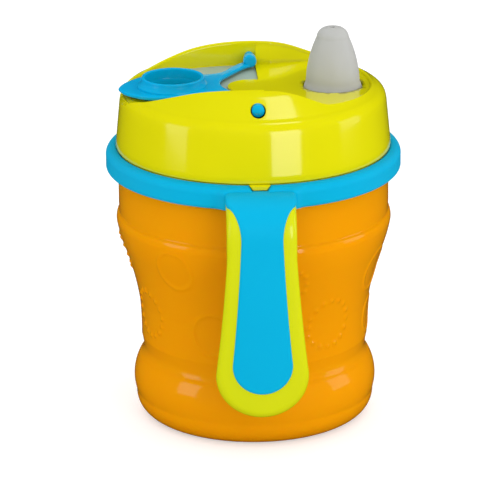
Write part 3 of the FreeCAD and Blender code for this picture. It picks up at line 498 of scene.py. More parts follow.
grip_outer = shifted(handle_outer, GRIP_PROUD)
grip_under = shifted(handle_outer, -GRIP_DEPTH)
grip_half_width = HANDLE_HALF_WIDTH + GRIP_LAP
shoulder = (grip_half_width, way_at(GRIP_SHOULDER))
grip_neck = (GRIP_NECK_HALF_WIDTH, way_at(GRIP_NECK))
grip_side = rounded_off(np.concatenate([
    along([(grip_half_width, GRIP_START), shoulder], count=20)[:-1],
    along(profile([shoulder, ((6.75, way_at(71.4)), grip_neck)], spacing=0.3), count=44)[:-1],
    along(profile([
        grip_neck,
        ((6.75, way_at(47.5)), (GRIP_TIP_HALF_WIDTH, way_at(GRIP_TIP_START))),
    ], spacing=0.5), count=50),
]), GRIP_SMOOTHING)
grip_edge = np.concatenate([grip_side, tip_arc(GRIP_TIP_HALF_WIDTH, GRIP_TIP_START, GRIP_TIP)])
grip = strap(grip_outer, grip_under, grip_edge, GRIP_ROUNDING)
soft_blue = finish("soft_blue", dark=(0.0002, 0.345, 0.57), light=(0.0004, 0.38, 0.62),
                   patches=26.0, rough=0.36, rough_change=0.10, grain=2200.0, grain_depth=0.06, shader={
    "IOR": 1.45,
    "Specular IOR Level": 0.06,
    "Subsurface Weight": 0.1,
    "Subsurface Radius": (0.0005, 0.002, 0.004),
    "Subsurface Scale": 0.3,
})
front_grip = piece("front_soft_grip", *grip)
wear(front_grip, soft_blue, "handle_ring", "soft_blue", "front_grip")
rear_grip = piece("rear_soft_grip", *mirrored(grip))
wear(rear_grip, soft_blue, "handle_ring", "soft_blue", "rear_grip")


# Collar: blue ring with a rounded rim, pressed over the inner ring and open where the handles come
# out, beside which it swells a little. A notch in its top takes the lug of the lid.

COLLAR_SIDES = 640
SWELL_REACH = 1.5
SWELL_SPREAD = 1.6
SWELL_START = 39.0
SWELL_FULL = 41.0
HANDLE_ZONE = 30.0
NOTCH_HALF_WIDTH = 2.1
NOTCH_FLANK = 0.9
NOTCH_FLOOR = 76.85
NOTCH_DEPTH = 1.5

collar_line = profile([
    (37.7, 71.9),
    (39.8, 71.8),
    ((40.85, 72.15), (41.2, 73.2)),
    (41.2, 75.6),
    ((40.75, 77.35), (39.2, 78.2)),
    ((38.6, 78.3), (38.2, 78.1)),
    ((37.8, 77.8), (37.7, 77.2)),
], spacing=0.35)
collar_points, collar_faces = turned(collar_line, COLLAR_SIDES, closed=True)
off_middle = np.abs(collar_points[:, 0])
from_axis = np.hypot(collar_points[:, 0], collar_points[:, 1])
swell = SWELL_REACH * np.exp(-((off_middle - HANDLE_HALF_WIDTH) / SWELL_SPREAD) ** 2)
swell *= np.clip((from_axis - SWELL_START) / (SWELL_FULL - SWELL_START), 0, 1)
swell = np.where(np.abs(collar_points[:, 1]) > HANDLE_ZONE, swell, 0.0)
collar_points[:, 1] += np.sign(collar_points[:, 1]) * swell
beside_notch = np.clip((off_middle - NOTCH_HALF_WIDTH) / NOTCH_FLANK, 0, 1)
beside_notch = np.where(collar_points[:, 1] < 0, beside_notch, 1.0)
collar_points[:, 2] = np.minimum(collar_points[:, 2], NOTCH_FLOOR + NOTCH_DEPTH * beside_notch)
collar = piece("collar_ring", collar_points, collar_faces)
wear(collar, soft_blue, "handle_ring", "blue_plastic", "collar")


# Lid: one glossy yellow moulding that screws onto the neck. A channel for cap and spout runs across
# its domed top and leaves a crest on either side.

CHANNEL_STEP = 1.8
CAP_FLOOR = 94.5
SPOUT_FLOOR = 95.1
SPOUT_REACH = 22.25
WELL_RADIUS = 9.6
PAD_LENGTH = 17.6
PAD_SINK = 0.15
PIN_HEIGHT = 97.0
PIN_HOLE = 2.1
HEAD_TILT = math.radians(17)
HEAD_REACH = 30.6
RIDGE_ROUND = 0.75
RIDGE_STEPS = 9
SPLAY = 0.2
SPLAY_START = 6.0
CAP_SIDE_LENGTH = 38.0
CAP_SIDE_HALF_WIDTH = 23.4
CAP_SIDE_LEAN = 0.4
CAP_SIDE_RISE = 6.9
SPOUT_SIDE_HALF_WIDTH = 21.4
SPOUT_SIDE_LEAN = 3.0
SPOUT_SIDE_RISE = 6.3
SPOUT_END_CENTRE = 3.2
SPOUT_END_RADIUS = 29.3
SPOUT_END_BLEND = 1.2
SPOUT_HOLE = 8.4
FLOOR_FALL = 1.4
FLOOR_FALL_START = 18.0
FLOOR_FALL_LENGTH = 20.0
CAP_FLOOR_REACH = 36.4
FOOT_INSET = 0.7
FOOT_RISE = 0.1
WALL_START = 0.2
WALL_STEPS = 8
LEAST_WALL = 0.25
LEAST_ROUND = 0.02
CREST_MARGIN = 0.3
CREST_ATTEMPTS = 5
TOP_STEPS = 90
SKIRT_TOP = (37.2, 91.5)
SKIRT_INSIDE = 35.9
LID_THREAD_LOW = 81.2
LID_THREAD_RISE = 1.5
DOME_STEPS = 420
DOME_SMOOTHING = 12
NEARLY_ZERO = 0.01

dome_line = along(profile([
    (20.0, 101.4),
    (23.6, 101.4),
    ((26.4, 100.45), (28.5, 99.2)),
    ((31.3, 97.2), (34.2, 95.2)),
    ((35.9, 94.3), (36.75, 93.3)),
    ((37.05, 92.4), SKIRT_TOP),
], spacing=0.1), DOME_STEPS)
dome_line = np.concatenate([rounded_off(dome_line, DOME_SMOOTHING), [SKIRT_TOP]])


def lower_of(one, other, blend):
    """The lower of two values, with the corner between them rounded."""
    near = np.clip(0.5 + (other - one) / (2 * blend), 0, 1)
    return other + (one - other) * near - blend * near * (1 - near)


def channel_reach(turn, spout_side, height):
    """Distance from the axis to the channel wall, which leans outwards beside the spout."""
    cosine = math.cos(turn)
    sine = abs(math.sin(turn))
    if not spout_side:
        half_width = CAP_SIDE_HALF_WIDTH + CAP_SIDE_LEAN * (height - CAP_FLOOR) / CAP_SIDE_RISE
        return 1 / math.hypot(cosine / CAP_SIDE_LENGTH, sine / half_width)
    half_width = SPOUT_SIDE_HALF_WIDTH + SPOUT_SIDE_LEAN * (height - SPOUT_FLOOR) / SPOUT_SIDE_RISE
    side = half_width / max(sine, NEARLY_ZERO)
    if side * cosine > SPLAY_START:
        side = (half_width - SPLAY * SPLAY_START) / max(sine - SPLAY * cosine, NEARLY_ZERO)
    end = SPOUT_END_CENTRE * cosine + math.sqrt(SPOUT_END_RADIUS ** 2 - (SPOUT_END_CENTRE * sine) ** 2)
    return lower_of(side, end, SPOUT_END_BLEND)


def floor_height(x, spout_side):
    """Floor of the channel, which falls towards the finger tab of the cap."""
    if spout_side:
        return SPOUT_FLOOR
    return CAP_FLOOR - FLOOR_FALL * np.clip((-x - FLOOR_FALL_START) / FLOOR_FALL_LENGTH, 0, 1)


def lid_section(turn, spout_side):
    """One upright half section of the lid: from the foot of the channel wall over the top to the axis."""
    floor = floor_height(channel_reach(turn, spout_side, CAP_FLOOR) * math.cos(turn), spout_side)
    over = dome_line[dome_line[:, 1] > floor + LEAST_WALL]
    farthest = over[-1, 0] - CREST_MARGIN
    reach = min(channel_reach(turn, spout_side, floor), farthest)
    crest_at = reach
    for attempt in range(CREST_ATTEMPTS):
        crest = np.interp(crest_at, dome_line[:, 0], dome_line[:, 1])
        crest_at = min(channel_reach(turn, spout_side, crest), farthest)
    ridge_at = crest_at + RIDGE_ROUND
    top = along(np.concatenate([
        [(ridge_at, np.interp(ridge_at, dome_line[:, 0], dome_line[:, 1]))],
        dome_line[dome_line[:, 0] > ridge_at + NEARLY_ZERO],
    ]), TOP_STEPS)
    ridge = top[0, 1]
    round_by = min(RIDGE_ROUND, max(ridge - floor - FOOT_RISE, LEAST_ROUND))
    bend = np.linspace(math.pi, math.pi / 2, RIDGE_STEPS)[:-1]
    edge = np.stack([
        ridge_at + RIDGE_ROUND * np.cos(bend),
        ridge - round_by + round_by * np.sin(bend),
    ], axis=1)
    foot = np.array([
        (reach - FOOT_INSET, floor),
        (reach - 0.3, floor + 0.03),
        (reach - 0.06, floor + FOOT_RISE),
    ])
    wall_low = floor + FOOT_RISE + WALL_START * (ridge - round_by - floor)
    wall = along([(reach, wall_low), edge[0]], WALL_STEPS)[:-1]
    skirt = profile([
        SKIRT_TOP,
        (38.4, 78.95),
        ((38.25, 78.55), (37.9, 78.4)),
        (36.3, 78.4),
        ((36.0, 78.5), (SKIRT_INSIDE, 78.8)),
        (SKIRT_INSIDE, 91.3),
        ((35.85, 91.45), (35.7, 91.5)),
        (0.0, 91.5),
    ], spacing=1.6)[1:]
    return np.concatenate([foot, wall, edge, top, skirt])


STEP_HALF_WIDTH = 23.2
LID_TURNS = 721
PIN_TURNS = 97
PIN_DEGREES = 8
LEAST_TURN = 0.001
TURN_DECIMALS = 6

step_turn = math.acos(CHANNEL_STEP / STEP_HALF_WIDTH)
near_pin = np.radians(np.linspace(-PIN_DEGREES, PIN_DEGREES, PIN_TURNS))
all_turns = np.unique(np.round(np.concatenate([
    np.linspace(-math.pi, math.pi, LID_TURNS)[:-1],
    math.pi / 2 + near_pin,
    -math.pi / 2 + near_pin,
]), TURN_DECIMALS))
all_turns = all_turns[np.abs(np.abs(all_turns) - step_turn) > LEAST_TURN]
turns = sorted([(turn, math.cos(turn) > math.cos(step_turn)) for turn in all_turns]
               + [(sign * step_turn, side) for sign in (-1, 1) for side in (False, True)],
               key=lambda item: (item[0], item[1] != (item[0] > 0)))
sections = np.array([lid_section(*turn) for turn in turns])
bearings = np.array([turn for turn, side in turns])
lid_points = np.stack([sections[:, :, 0] * np.cos(bearings)[:, None],
                       sections[:, :, 0] * np.sin(bearings)[:, None],
                       sections[:, :, 1]], axis=2).transpose(1, 0, 2)
lid_grid = lid_points.reshape(-1, 3), band_faces(*lid_points.shape[:2], closed=False)
wall_foot = lid_points[0]


PATCH_LENGTH = 38
PATCH_WIDTH = 25
PATCH_SPACING = 1.5
PATCH_CLEARANCE = 0.6
PATCH_LAP = 0.03
PATCH_JOIN = 1e-5
WHOLE_HULL = 0
HOLE_SIDES = 120


def patch(loops, inside, height):
    """A floor between loops of points, filled with triangles on a grid of points."""
    columns = np.arange(-PATCH_LENGTH, PATCH_LENGTH, PATCH_SPACING)
    rows = np.arange(-PATCH_WIDTH, PATCH_WIDTH, PATCH_SPACING)
    flat = [Vector((x, y)) for x in columns for y in rows if inside(x, y, -PATCH_CLEARANCE)]
    edges = []
    for loop in loops:
        start = len(flat)
        flat += [Vector(place[:2]) for place in loop]
        edges += [(start + index, start + (index + 1) % len(loop)) for index in range(len(loop))]
    made = delaunay_2d_cdt(flat, edges, [], WHOLE_HULL, PATCH_JOIN)
    points = np.array([(place.x, place.y, height(place.x)) for place in made[0]])
    faces = [face for face in made[2] if inside(*np.mean(points[face, :2], axis=0), PATCH_LAP)]
    return points, faces


def ring_of(radius, x):
    """Points of a circle in the channel."""
    turn = np.arange(HOLE_SIDES) * math.tau / HOLE_SIDES
    return np.stack([x + radius * np.cos(turn), radius * np.sin(turn)], axis=1)


TONGUE_CENTRE = -0.44
TONGUE_RADIUS = 6.56
TONGUE_STEPS = 60


def within_foot(x, y, margin, spout_side):
    """Whether a place lies inside the foot of the channel wall."""
    turn = math.atan2(y, x)
    level = SPOUT_FLOOR if spout_side else CAP_FLOOR
    return math.hypot(x, y) < channel_reach(turn, spout_side, level) - FOOT_INSET + margin


def in_tongue(x, y, margin):
    """Whether a place lies on the round tongue of the spout's floor."""
    return math.hypot(x - TONGUE_CENTRE, y) < TONGUE_RADIUS + margin


def on_cap_floor(x, y, margin):
    """Whether a place lies on the lower floor, outside the well of the cap."""
    in_channel = within_foot(x, y, margin, False) and math.hypot(x, y) < CAP_FLOOR_REACH + margin
    clear_of_well = math.hypot(x + SPOUT_REACH, y) > WELL_RADIUS - margin
    return x < CHANNEL_STEP + margin and in_channel and not in_tongue(x, y, -margin) and clear_of_well


def on_spout_floor(x, y, margin):
    """Whether a place lies on the upper floor, outside the hole of the spout."""
    past_step = x > CHANNEL_STEP - margin or in_tongue(x, y, margin)
    clear_of_spout = math.hypot(x - SPOUT_REACH, y) > SPOUT_HOLE - margin
    return past_step and within_foot(x, y, margin, x > CHANNEL_STEP) and clear_of_spout


tongue_end = math.acos((CHANNEL_STEP - TONGUE_CENTRE) / TONGUE_RADIUS)
tongue_turn = np.linspace(tongue_end, math.tau - tongue_end, TONGUE_STEPS)
tongue_line = np.stack([
    TONGUE_CENTRE + TONGUE_RADIUS * np.cos(tongue_turn),
    TONGUE_RADIUS * np.sin(tongue_turn),
], axis=1)
cap_foot = np.array([place for place, (turn, side) in zip(wall_foot, turns) if not side])
spout_foot = np.array([place for place, (turn, side) in zip(wall_foot, turns) if side])
cap_rim = cap_foot[np.argsort(np.arctan2(cap_foot[:, 1], cap_foot[:, 0]) % math.tau)]
spout_rim = spout_foot[np.argsort(np.arctan2(spout_foot[:, 1], spout_foot[:, 0]))]
well_ring = ring_of(WELL_RADIUS, -SPOUT_REACH)
cap_floor = patch([np.concatenate([cap_rim[:, :2], tongue_line[::-1]]), well_ring], on_cap_floor,
                  lambda x: floor_height(x, False) - PAD_SINK * (x > -PAD_LENGTH))
spout_ring = ring_of(SPOUT_HOLE, SPOUT_REACH)
spout_floor = patch([np.concatenate([spout_rim[:, :2], tongue_line]), spout_ring], on_spout_floor,
                    lambda x: SPOUT_FLOOR)
step_line = np.concatenate([[cap_rim[0, :2]], tongue_line, [cap_rim[-1, :2]]])
step_points = np.concatenate([np.column_stack([step_line, np.full(len(step_line), level)])
                              for level in (CAP_FLOOR, SPOUT_FLOOR)])
step_faces = [(index, index + 1, index + 1 + len(step_line), index + len(step_line))
              for index in range(len(step_line) - 1)]
well_line = profile([
    (WELL_RADIUS, 94.0),
    (WELL_RADIUS, 81.1),
    ((9.2, 80.2), (8.2, 79.8)),
    (0.0, 79.8),
], spacing=0.8)
cap_centre = (-SPOUT_REACH, 0.0)
spout_centre = (SPOUT_REACH, 0.0)
well_points, well_faces = turned(well_line, HOLE_SIDES, centre=cap_centre)
well_points[:HOLE_SIDES, 2] = floor_height(well_points[:HOLE_SIDES, 0], False)
well_outside = turned([(10.6, 91.6), (10.6, 79.7), (9.8, 78.8), (0.0, 78.75)], HOLE_SIDES, centre=cap_centre)
spout_hole = turned([(SPOUT_HOLE, SPOUT_FLOOR), (SPOUT_HOLE, 92.0)], HOLE_SIDES, centre=spout_centre)
socket = turned([(9.4, 91.5), (9.4, 86.9), (10.3, 86.9), (10.3, 91.6)], HOLE_SIDES, centre=spout_centre)

LUG_TOP = 78.4
LUG_TOP_HALF_WIDTH = 2.8
LUG_LOW = 77.0
LUG_LOW_HALF_WIDTH = 2.0
LUG_CHAMFER = 0.22
LUG_ROWS = [
    # place along Y, inset of the sides
    (-36.0, 0.0),
    (-39.3, 0.0),
    (-39.6, LUG_CHAMFER),
]

lug = []
for y, inset in LUG_ROWS:
    top_side = LUG_TOP_HALF_WIDTH - inset
    low_side = LUG_LOW_HALF_WIDTH - inset
    lug += [(-top_side, y, LUG_TOP - inset), (-low_side, y, LUG_LOW + inset)]
    lug += [(low_side, y, LUG_LOW + inset), (top_side, y, LUG_TOP - inset)]
lug_faces = band_faces(rows=3, sides=4, closed=False)
lug_faces.append((8, 9, 10, 11))


CREASE_DEGREES = 40


def crisp(made, degrees):
    """Marks the sharp corners of a smooth piece."""
    shape = bmesh.new()
    shape.from_mesh(made.data)
    for edge in shape.edges:
        if len(edge.link_faces) == 2 and edge.calc_face_angle() > math.radians(degrees):
            edge.smooth = False
    shape.to_mesh(made.data)
    shape.free()


PIN_RIM = 0.6
PIN_BORE_SIDES = 72
PIN_BORE_NEAREST = 27.0
PIN_BORE_CLEARANCE = 0.05


def bore(made, height, radius, nearest):
    """Opens the round hole of each pin head in the outside of the lid and rounds its rim."""
    shape = bmesh.new()
    shape.from_mesh(made.data)

    def above_axis(place):
        up = place.z / MM - height
        out = abs(place.y) / MM - HEAD_REACH
        return up * math.cos(HEAD_TILT) - out * math.sin(HEAD_TILT)

    def away(place):
        return math.hypot(place.x / MM, above_axis(place))

    middles = [(face, face.calc_center_median()) for face in shape.faces]
    inside = [face for face, middle in middles if abs(middle.y) > nearest * MM and away(middle) < radius]
    bmesh.ops.delete(shape, geom=inside, context="FACES")
    for vertex in shape.verts:
        if vertex.is_boundary and abs(vertex.co.y) > nearest * MM and away(vertex.co) < radius + PIN_RIM:
            grow = radius / away(vertex.co)
            vertex.co.x *= grow
            vertex.co.z += above_axis(vertex.co) * (grow - 1) / math.cos(HEAD_TILT) * MM
    shape.to_mesh(made.data)
    shape.free()


def cross_turned(line, sides, height):
    """Points and faces of a line of radius and distance turned about the hinge axis along Y."""
    points, faces = turned(line, sides)
    return np.stack([points[:, 0], points[:, 2], height + points[:, 1]], axis=1), faces


pin_bore = cross_turned([(PIN_HOLE, -36.0), (PIN_HOLE, -26.5), (0.0, -26.5)], PIN_BORE_SIDES, PIN_HEIGHT)
bore_points = pin_bore[0]
bore_points[:, 2] -= (bore_points[:, 1] + HEAD_REACH) * math.tan(HEAD_TILT)
bore_limit = np.interp(bore_points[:, 2], dome_line[::-1, 1], dome_line[::-1, 0]) - PIN_BORE_CLEARANCE
bore_points[:, 1] = np.maximum(bore_points[:, 1], -bore_limit)
lid_thread = helix(SKIRT_INSIDE, -THREAD_DEPTH, LID_THREAD_LOW, LID_THREAD_RISE)
lid = piece("screw_lid", *merged(
    lid_grid, cap_floor, spout_floor, (step_points, step_faces), (well_points, well_faces), well_outside,
    spout_hole, socket, (lug, lug_faces), lid_thread))
bore(lid, PIN_HEIGHT, PIN_HOLE, PIN_BORE_NEAREST)
crisp(lid, CREASE_DEGREES)
yellow = finish("gloss_yellow", dark=(0.61, 0.575, 0.0003), light=(0.68, 0.635, 0.0005),
                patches=30.0, rough=0.09, rough_change=0.05, grain=1400.0, grain_depth=0.02, shader={
    "IOR": 1.5,
    "Coat Weight": 0.25,
    "Coat Roughness": 0.04,
    "Subsurface Weight": 0.12,
    "Subsurface Radius": (0.004, 0.003, 0.0004),
    "Subsurface Scale": 0.3,
})
wear(lid, yellow, "lid", "yellow_plastic", "lid_shell")
bores = piece("pin_bores", *merged(pin_bore, mirrored(pin_bore)))
wear(bores, yellow, "lid", "yellow_plastic")


# Spout: soft grey silicone, pushed up through the deck from below until its flange stops it, with a
# small drinking hole in its rounded tip.

SPOUT_SIDES = 160
SPOUT_CREASE_DEGREES = 45

spout_line = profile([
    (6.6, 89.9),
    (9.3, 89.9),
    (9.3, 91.5),
    (8.25, 91.6),
    (8.25, 93.4),
    ((8.1, 94.6), (7.85, 95.4)),
    ((7.6, 96.0), (7.45, 96.8)),
    ((6.5, 103.2), (4.5, 108.9)),
    ((3.6, 110.8), (1.7, 111.65)),
    ((1.1, 111.78), (0.8, 111.7)),
    ((0.7, 111.6), (0.7, 111.4)),
    (0.7, 110.3),
    (2.6, 108.9),
    ((5.1, 102.4), (5.7, 95.9)),
    (6.6, 94.0),
], spacing=0.3)
spout = piece("soft_spout", *turned(spout_line, SPOUT_SIDES, closed=True, centre=spout_centre))
crisp(spout, SPOUT_CREASE_DEGREES)
silicone = finish("grey_silicone", dark=(0.41, 0.415, 0.40), light=(0.47, 0.47, 0.455),
                  patches=40.0, rough=0.42, rough_change=0.10, grain=1600.0, grain_depth=0.05, shader={
    "IOR": 1.41,
    "Subsurface Weight": 0.6,
    "Subsurface Radius": (0.004, 0.004, 0.0036),
    "Subsurface Scale": 0.5,
})
wear(spout, silicone, "lid", "grey_silicone", "spout")


# Pieces inside the lid: sealing ring, slit valve, its white retaining ring and the vent pad, whose
# sheet lies in the channel under the arms of the cap.

pad_silicone = finish("vent_silicone", dark=(0.30, 0.40, 0.33), light=(0.36, 0.45, 0.37),
                      patches=60.0, rough=0.35, rough_change=0.10, grain=1600.0, grain_depth=0.05, shader={
    "IOR": 1.41,
    "Subsurface Weight": 0.3,
    "Subsurface Radius": (0.003, 0.003, 0.002),
    "Subsurface Scale": 0.4,
})
white = finish("matt_white", dark=(0.72, 0.72, 0.70), light=(0.80, 0.80, 0.78),
               patches=30.0, rough=0.45, rough_change=0.10, grain=1500.0, grain_depth=0.04,
               shader={"IOR": 1.48})
for name, paint in (("lid_seal", silicone), ("spout_valve", silicone), ("spout_retainer", white),
                    ("vent_pad", pad_silicone)):
    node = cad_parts[name]
    node.data.materials.clear()
    node.data.materials.append(paint)


# Flip cap: glossy blue moulding, folded open. A plate with a finger tab carries a ring with a hollow
# for the spout, and forks into two arms with the hinge eyes.

PLATE_THICKNESS = 1.1
PLATE_ROUNDING = 0.45
PLATE_EDGE_STEPS = 6
PLATE_HOLE = 8.0
PLATE_TOP = 96.3
PLATE_FALL_START = 9.0
PLATE_FALL_LENGTH = 28.4
CAP_SIDES = 180
HINGE_SIDES = 60


def plate_height(x):
    """Top of the plate, which falls from the fork to the tab."""
    return PLATE_TOP - np.clip((-x - PLATE_FALL_START) / PLATE_FALL_LENGTH, 0, 1)


def slab(outline, top, thickness, rounding):
    """Rings of points around the rounded edge of a plate, from its top to its underside."""
    outline = np.asarray(outline)
    ahead = np.roll(outline, -1, axis=0) - np.roll(outline, 1, axis=0)
    inwards = np.stack([-ahead[:, 1], ahead[:, 0]], axis=1)
    inwards /= np.linalg.norm(inwards, axis=1)[:, None]
    quarter = np.linspace(0, math.pi / 2, PLATE_EDGE_STEPS)
    steps = [(rounding * (1 - math.sin(turn)), rounding * (1 - math.cos(turn))) for turn in quarter]
    steps += [(into, thickness - down) for into, down in reversed(steps)]
    rings = []
    for into, down in steps:
        flat = outline + inwards * into
        rings.append(np.column_stack([flat, top(flat[:, 0]) - down]))
    return rings


plate_half = np.concatenate([
    profile([
        (-37.4, 0.0),
        ((-36.2, 3.6), (-33.2, 7.6)),
        ((-29.4, 10.6), (-24.5, 11.6)),
        ((-18.6, 11.2), (-13.2, 9.0)),
    ], spacing=0.5),
    profile([
        (-13.2, 9.0),
        ((-9.6, 9.6), (-6.9, 12.6)),
        ((-4.2, 17.2), (-1.6, 20.4)),
        (0.0, 20.6),
    ], spacing=0.5)[1:],
    profile([
        (0.0, 20.6),
        (0.6, 20.2),
        (0.6, 17.8),
        (0.0, 17.4),
        (-1.0, 16.6),
        ((-4.0, 12.2), (-6.6, 7.6)),
        ((-8.5, 4.0), (-9.1, 0.0)),
    ], spacing=0.5)[1:],
])
plate_outline = np.concatenate([plate_half, plate_half[-2:0:-1] * (1, -1)])[::-1]
plate_rings = slab(plate_outline, plate_height, PLATE_THICKNESS, PLATE_ROUNDING)
plate_rim = np.concatenate(plate_rings), band_faces(len(plate_rings), len(plate_outline), closed=False)
plate_edge = plate_rings[0][:, :2]


def on_plate(x, y, margin):
    """Whether a place lies on the plate, outside the hole of the ring."""
    near = plate_edge
    after = np.roll(plate_edge, -1, axis=0)
    crossed = (near[:, 1] > y) != (after[:, 1] > y)
    rise = np.where(crossed, after[:, 1] - near[:, 1], 1.0)
    left = x < near[:, 0] + (y - near[:, 1]) / rise * (after[:, 0] - near[:, 0])
    clear = margin > 0 or np.min(np.hypot(near[:, 0] - x, near[:, 1] - y)) > -margin
    return np.sum(crossed & left) % 2 == 1 and clear and math.hypot(x + SPOUT_REACH, y) > PLATE_HOLE - margin


plate_hole = ring_of(PLATE_HOLE, -SPOUT_REACH)
plate_top = patch([plate_edge, plate_hole], on_plate, plate_height)
plate_under = patch([plate_edge, plate_hole], on_plate, lambda x: plate_height(x) - PLATE_THICKNESS)
cap_ring = turned(profile([
    (7.85, 95.4),
    (7.8, 97.9),
    ((7.9, 98.2), (8.2, 98.28)),
    ((8.6, 98.25), (8.75, 97.9)),
    ((8.95, 96.9), (9.9, 95.9)),
    (9.9, 95.2),
], spacing=0.2), CAP_SIDES, centre=cap_centre)
cap_hollow = turned(profile([
    (7.85, 95.6),
    (7.7, 95.0),
    ((7.3, 91.4), (4.9, 84.6)),
    ((3.6, 82.8), (0.0, 81.5)),
], spacing=0.4), CAP_SIDES, centre=cap_centre)
cap_outside = turned(profile([
    (9.0, 95.0),
    (8.8, 94.4),
    ((8.4, 91.2), (6.0, 84.2)),
    ((4.4, 81.9), (0.0, 80.45)),
], spacing=0.4), CAP_SIDES, centre=cap_centre)
eye = cross_turned(profile([
    (0.0, -20.95),
    ((1.15, -20.75), (1.85, -19.9)),
    (1.85, -18.0),
    ((1.6, -17.5), (1.1, -17.35)),
    (0.0, -17.3),
], spacing=0.2), HINGE_SIDES, PIN_HEIGHT)
flip_cap = piece("flip_cap_shell", *merged(
    plate_rim, plate_top, plate_under, cap_ring, cap_hollow, cap_outside, eye, mirrored(eye)))
crisp(flip_cap, CREASE_DEGREES)
blue = finish("gloss_blue", dark=(0.0002, 0.345, 0.62), light=(0.0004, 0.385, 0.69),
              patches=40.0, rough=0.16, rough_change=0.06, grain=1400.0, grain_depth=0.03, shader={
    "IOR": 1.5,
    "Specular IOR Level": 0.2,
    "Coat Weight": 0.08,
    "Coat Roughness": 0.08,
    "Subsurface Weight": 0.12,
    "Subsurface Radius": (0.0005, 0.002, 0.004),
    "Subsurface Scale": 0.3,
})
wear(flip_cap, blue, "flip_cap", "blue_plastic", "flip_cap")


# Hinge pins: blue, with rounded heads, pushed through the crests from outside into the cap's eyes.

pin = cross_turned(profile([
    (0.0, -31.75),
    ((0.9, -31.72), (1.5, -31.55)),
    ((1.68, -31.4), (1.75, -31.15)),
    (1.75, -30.2),
    (1.75, -28.9),
    (1.3, -28.85),
    (1.3, -20.0),
], spacing=0.2), HINGE_SIDES, PIN_HEIGHT)
front_pin = piece("front_hinge_pin", *pin)
wear(front_pin, soft_blue, "flip_cap", "blue_plastic", "front_pivot_pin")
rear_pin = piece("rear_hinge_pin", *mirrored(pin))
wear(rear_pin, soft_blue, "flip_cap", "blue_plastic", "rear_pivot_pin")


# Studio: a pale floor, a world that is white for the camera and dark in reflections, soft lights at
# the front, left, right and above, and a long lens that looks down on the cup from the front.

WORLD_DIFFUSE = 1.2
WORLD_GLOSS = 0.008
WORLD_CLEAR = 1.0
FLOOR_SIZE = 3.0
FLOOR_SHADE = (0.65, 0.65, 0.65, 1)
FLOOR_IN_GLOSS = (0.01, 0.01, 0.01, 1)
FLOOR_LIFT = (0.45, 0.45, 0.45, 1)
BLACK = (0, 0, 0, 1)
WHITE = (1, 1, 1, 1)

floor_mesh = bpy.data.meshes.new("floor")
floor_corners = [(x * FLOOR_SIZE, y * FLOOR_SIZE, 0.0) for x, y in ((-1, -1), (1, -1), (1, 1), (-1, 1))]
floor_mesh.from_pydata(floor_corners, [], [(0, 1, 2, 3)])
floor = bpy.data.objects.new("floor", floor_mesh)
bpy.context.scene.collection.objects.link(floor)
floor_paint = bpy.data.materials.new("floor_white")
floor_paint.use_nodes = True
floor_paint.node_tree.nodes.clear()
start = Wire(floor_paint.node_tree)
in_gloss = start.add("ShaderNodeLightPath", {}, {}, "Is Glossy Ray")
seen = start.add("ShaderNodeLightPath", {}, {}, "Is Camera Ray")
start.add("ShaderNodeOutputMaterial", {}, {
    "Surface": start.add("ShaderNodeBsdfPrincipled", {}, {
        "Base Color": start.blend(in_gloss, FLOOR_SHADE, FLOOR_IN_GLOSS),
        "Emission Color": start.blend(seen, BLACK, FLOOR_LIFT),
        "Emission Strength": 1.0,
        "Roughness": 0.9,
        "Specular IOR Level": 0.0,
    }),
})
floor.data.materials.append(floor_paint)

world = bpy.data.worlds.new("studio")
bpy.context.scene.world = world
world.use_nodes = True
world.node_tree.nodes.clear()
start = Wire(world.node_tree)
to_camera = start.add("ShaderNodeLightPath", {}, {}, "Is Camera Ray")
in_gloss = start.add("ShaderNodeLightPath", {}, {}, "Is Glossy Ray")
through = start.add("ShaderNodeLightPath", {}, {}, "Is Transmission Ray")
level = (to_camera * (1 - WORLD_DIFFUSE) + in_gloss * (WORLD_GLOSS - WORLD_DIFFUSE)
         + through * (WORLD_CLEAR - WORLD_DIFFUSE) + WORLD_DIFFUSE)
start.add("ShaderNodeOutputWorld", {}, {
    "Surface": start.add("ShaderNodeBackground", {}, {"Color": WHITE, "Strength": level}),
})


LIGHT_CENTRE = 0.06


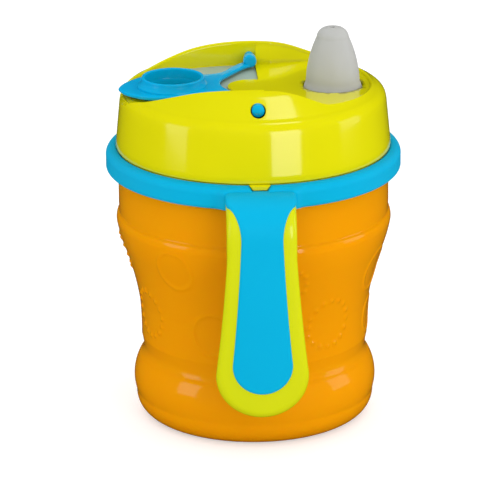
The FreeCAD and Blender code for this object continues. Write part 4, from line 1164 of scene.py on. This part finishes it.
def softbox(name, bearing, elevation, distance, width, height, radiance):
    """A rectangular soft light that faces the cup. Bearing 0 is the front, 90 the right."""
    glow = bpy.data.lights.new(name, "AREA")
    glow.shape = "RECTANGLE"
    glow.size = width
    glow.size_y = height
    glow.energy = radiance * math.pi * width * height
    lamp = bpy.data.objects.new(name, glow)
    turn = math.radians(bearing)
    tilt = math.radians(elevation)
    away = Vector((math.sin(turn) * math.cos(tilt), -math.cos(turn) * math.cos(tilt), math.sin(tilt)))
    lamp.location = away * distance + Vector((0, 0, LIGHT_CENTRE))
    lamp.rotation_euler = (-away).to_track_quat("-Z", "Y").to_euler()
    bpy.context.scene.collection.objects.link(lamp)


softbox("front_window", bearing=24.0, elevation=10.0, distance=0.46,
        width=0.20, height=0.24, radiance=3.2)
softbox("left_window", bearing=-68.0, elevation=10.0, distance=0.46,
        width=0.17, height=0.24, radiance=1.3)
softbox("right_window", bearing=85.0, elevation=10.0, distance=0.46,
        width=0.19, height=0.24, radiance=0.9)
softbox("top_strip", bearing=116.0, elevation=77.0, distance=1.0,
        width=0.22, height=0.24, radiance=2.4)

CAMERA_DISTANCE = 1.3
CAMERA_TURN = math.radians(2.53)
CAMERA_TILT = math.radians(18.49)
CAMERA_ROLL = math.radians(0.36)
CAMERA_TARGET = Vector((-0.00109, 0.0, 0.04695))
CAMERA_LENS = 332.5
SENSOR_WIDTH = 36

away = Vector((
    -math.sin(CAMERA_TURN) * math.cos(CAMERA_TILT),
    -math.cos(CAMERA_TURN) * math.cos(CAMERA_TILT),
    math.sin(CAMERA_TILT),
))
lens = bpy.data.cameras.new("camera")
lens.lens = CAMERA_LENS
lens.sensor_width = SENSOR_WIDTH
camera = bpy.data.objects.new("camera", lens)
camera.location = CAMERA_TARGET + away * CAMERA_DISTANCE
level_view = (-away).to_track_quat("-Z", "Y")
camera.rotation_euler = (level_view @ Quaternion((0, 0, 1), -CAMERA_ROLL)).to_euler()
bpy.context.scene.collection.objects.link(camera)
bpy.context.scene.camera = camera
bpy.context.scene.view_settings.view_transform = "Standard"
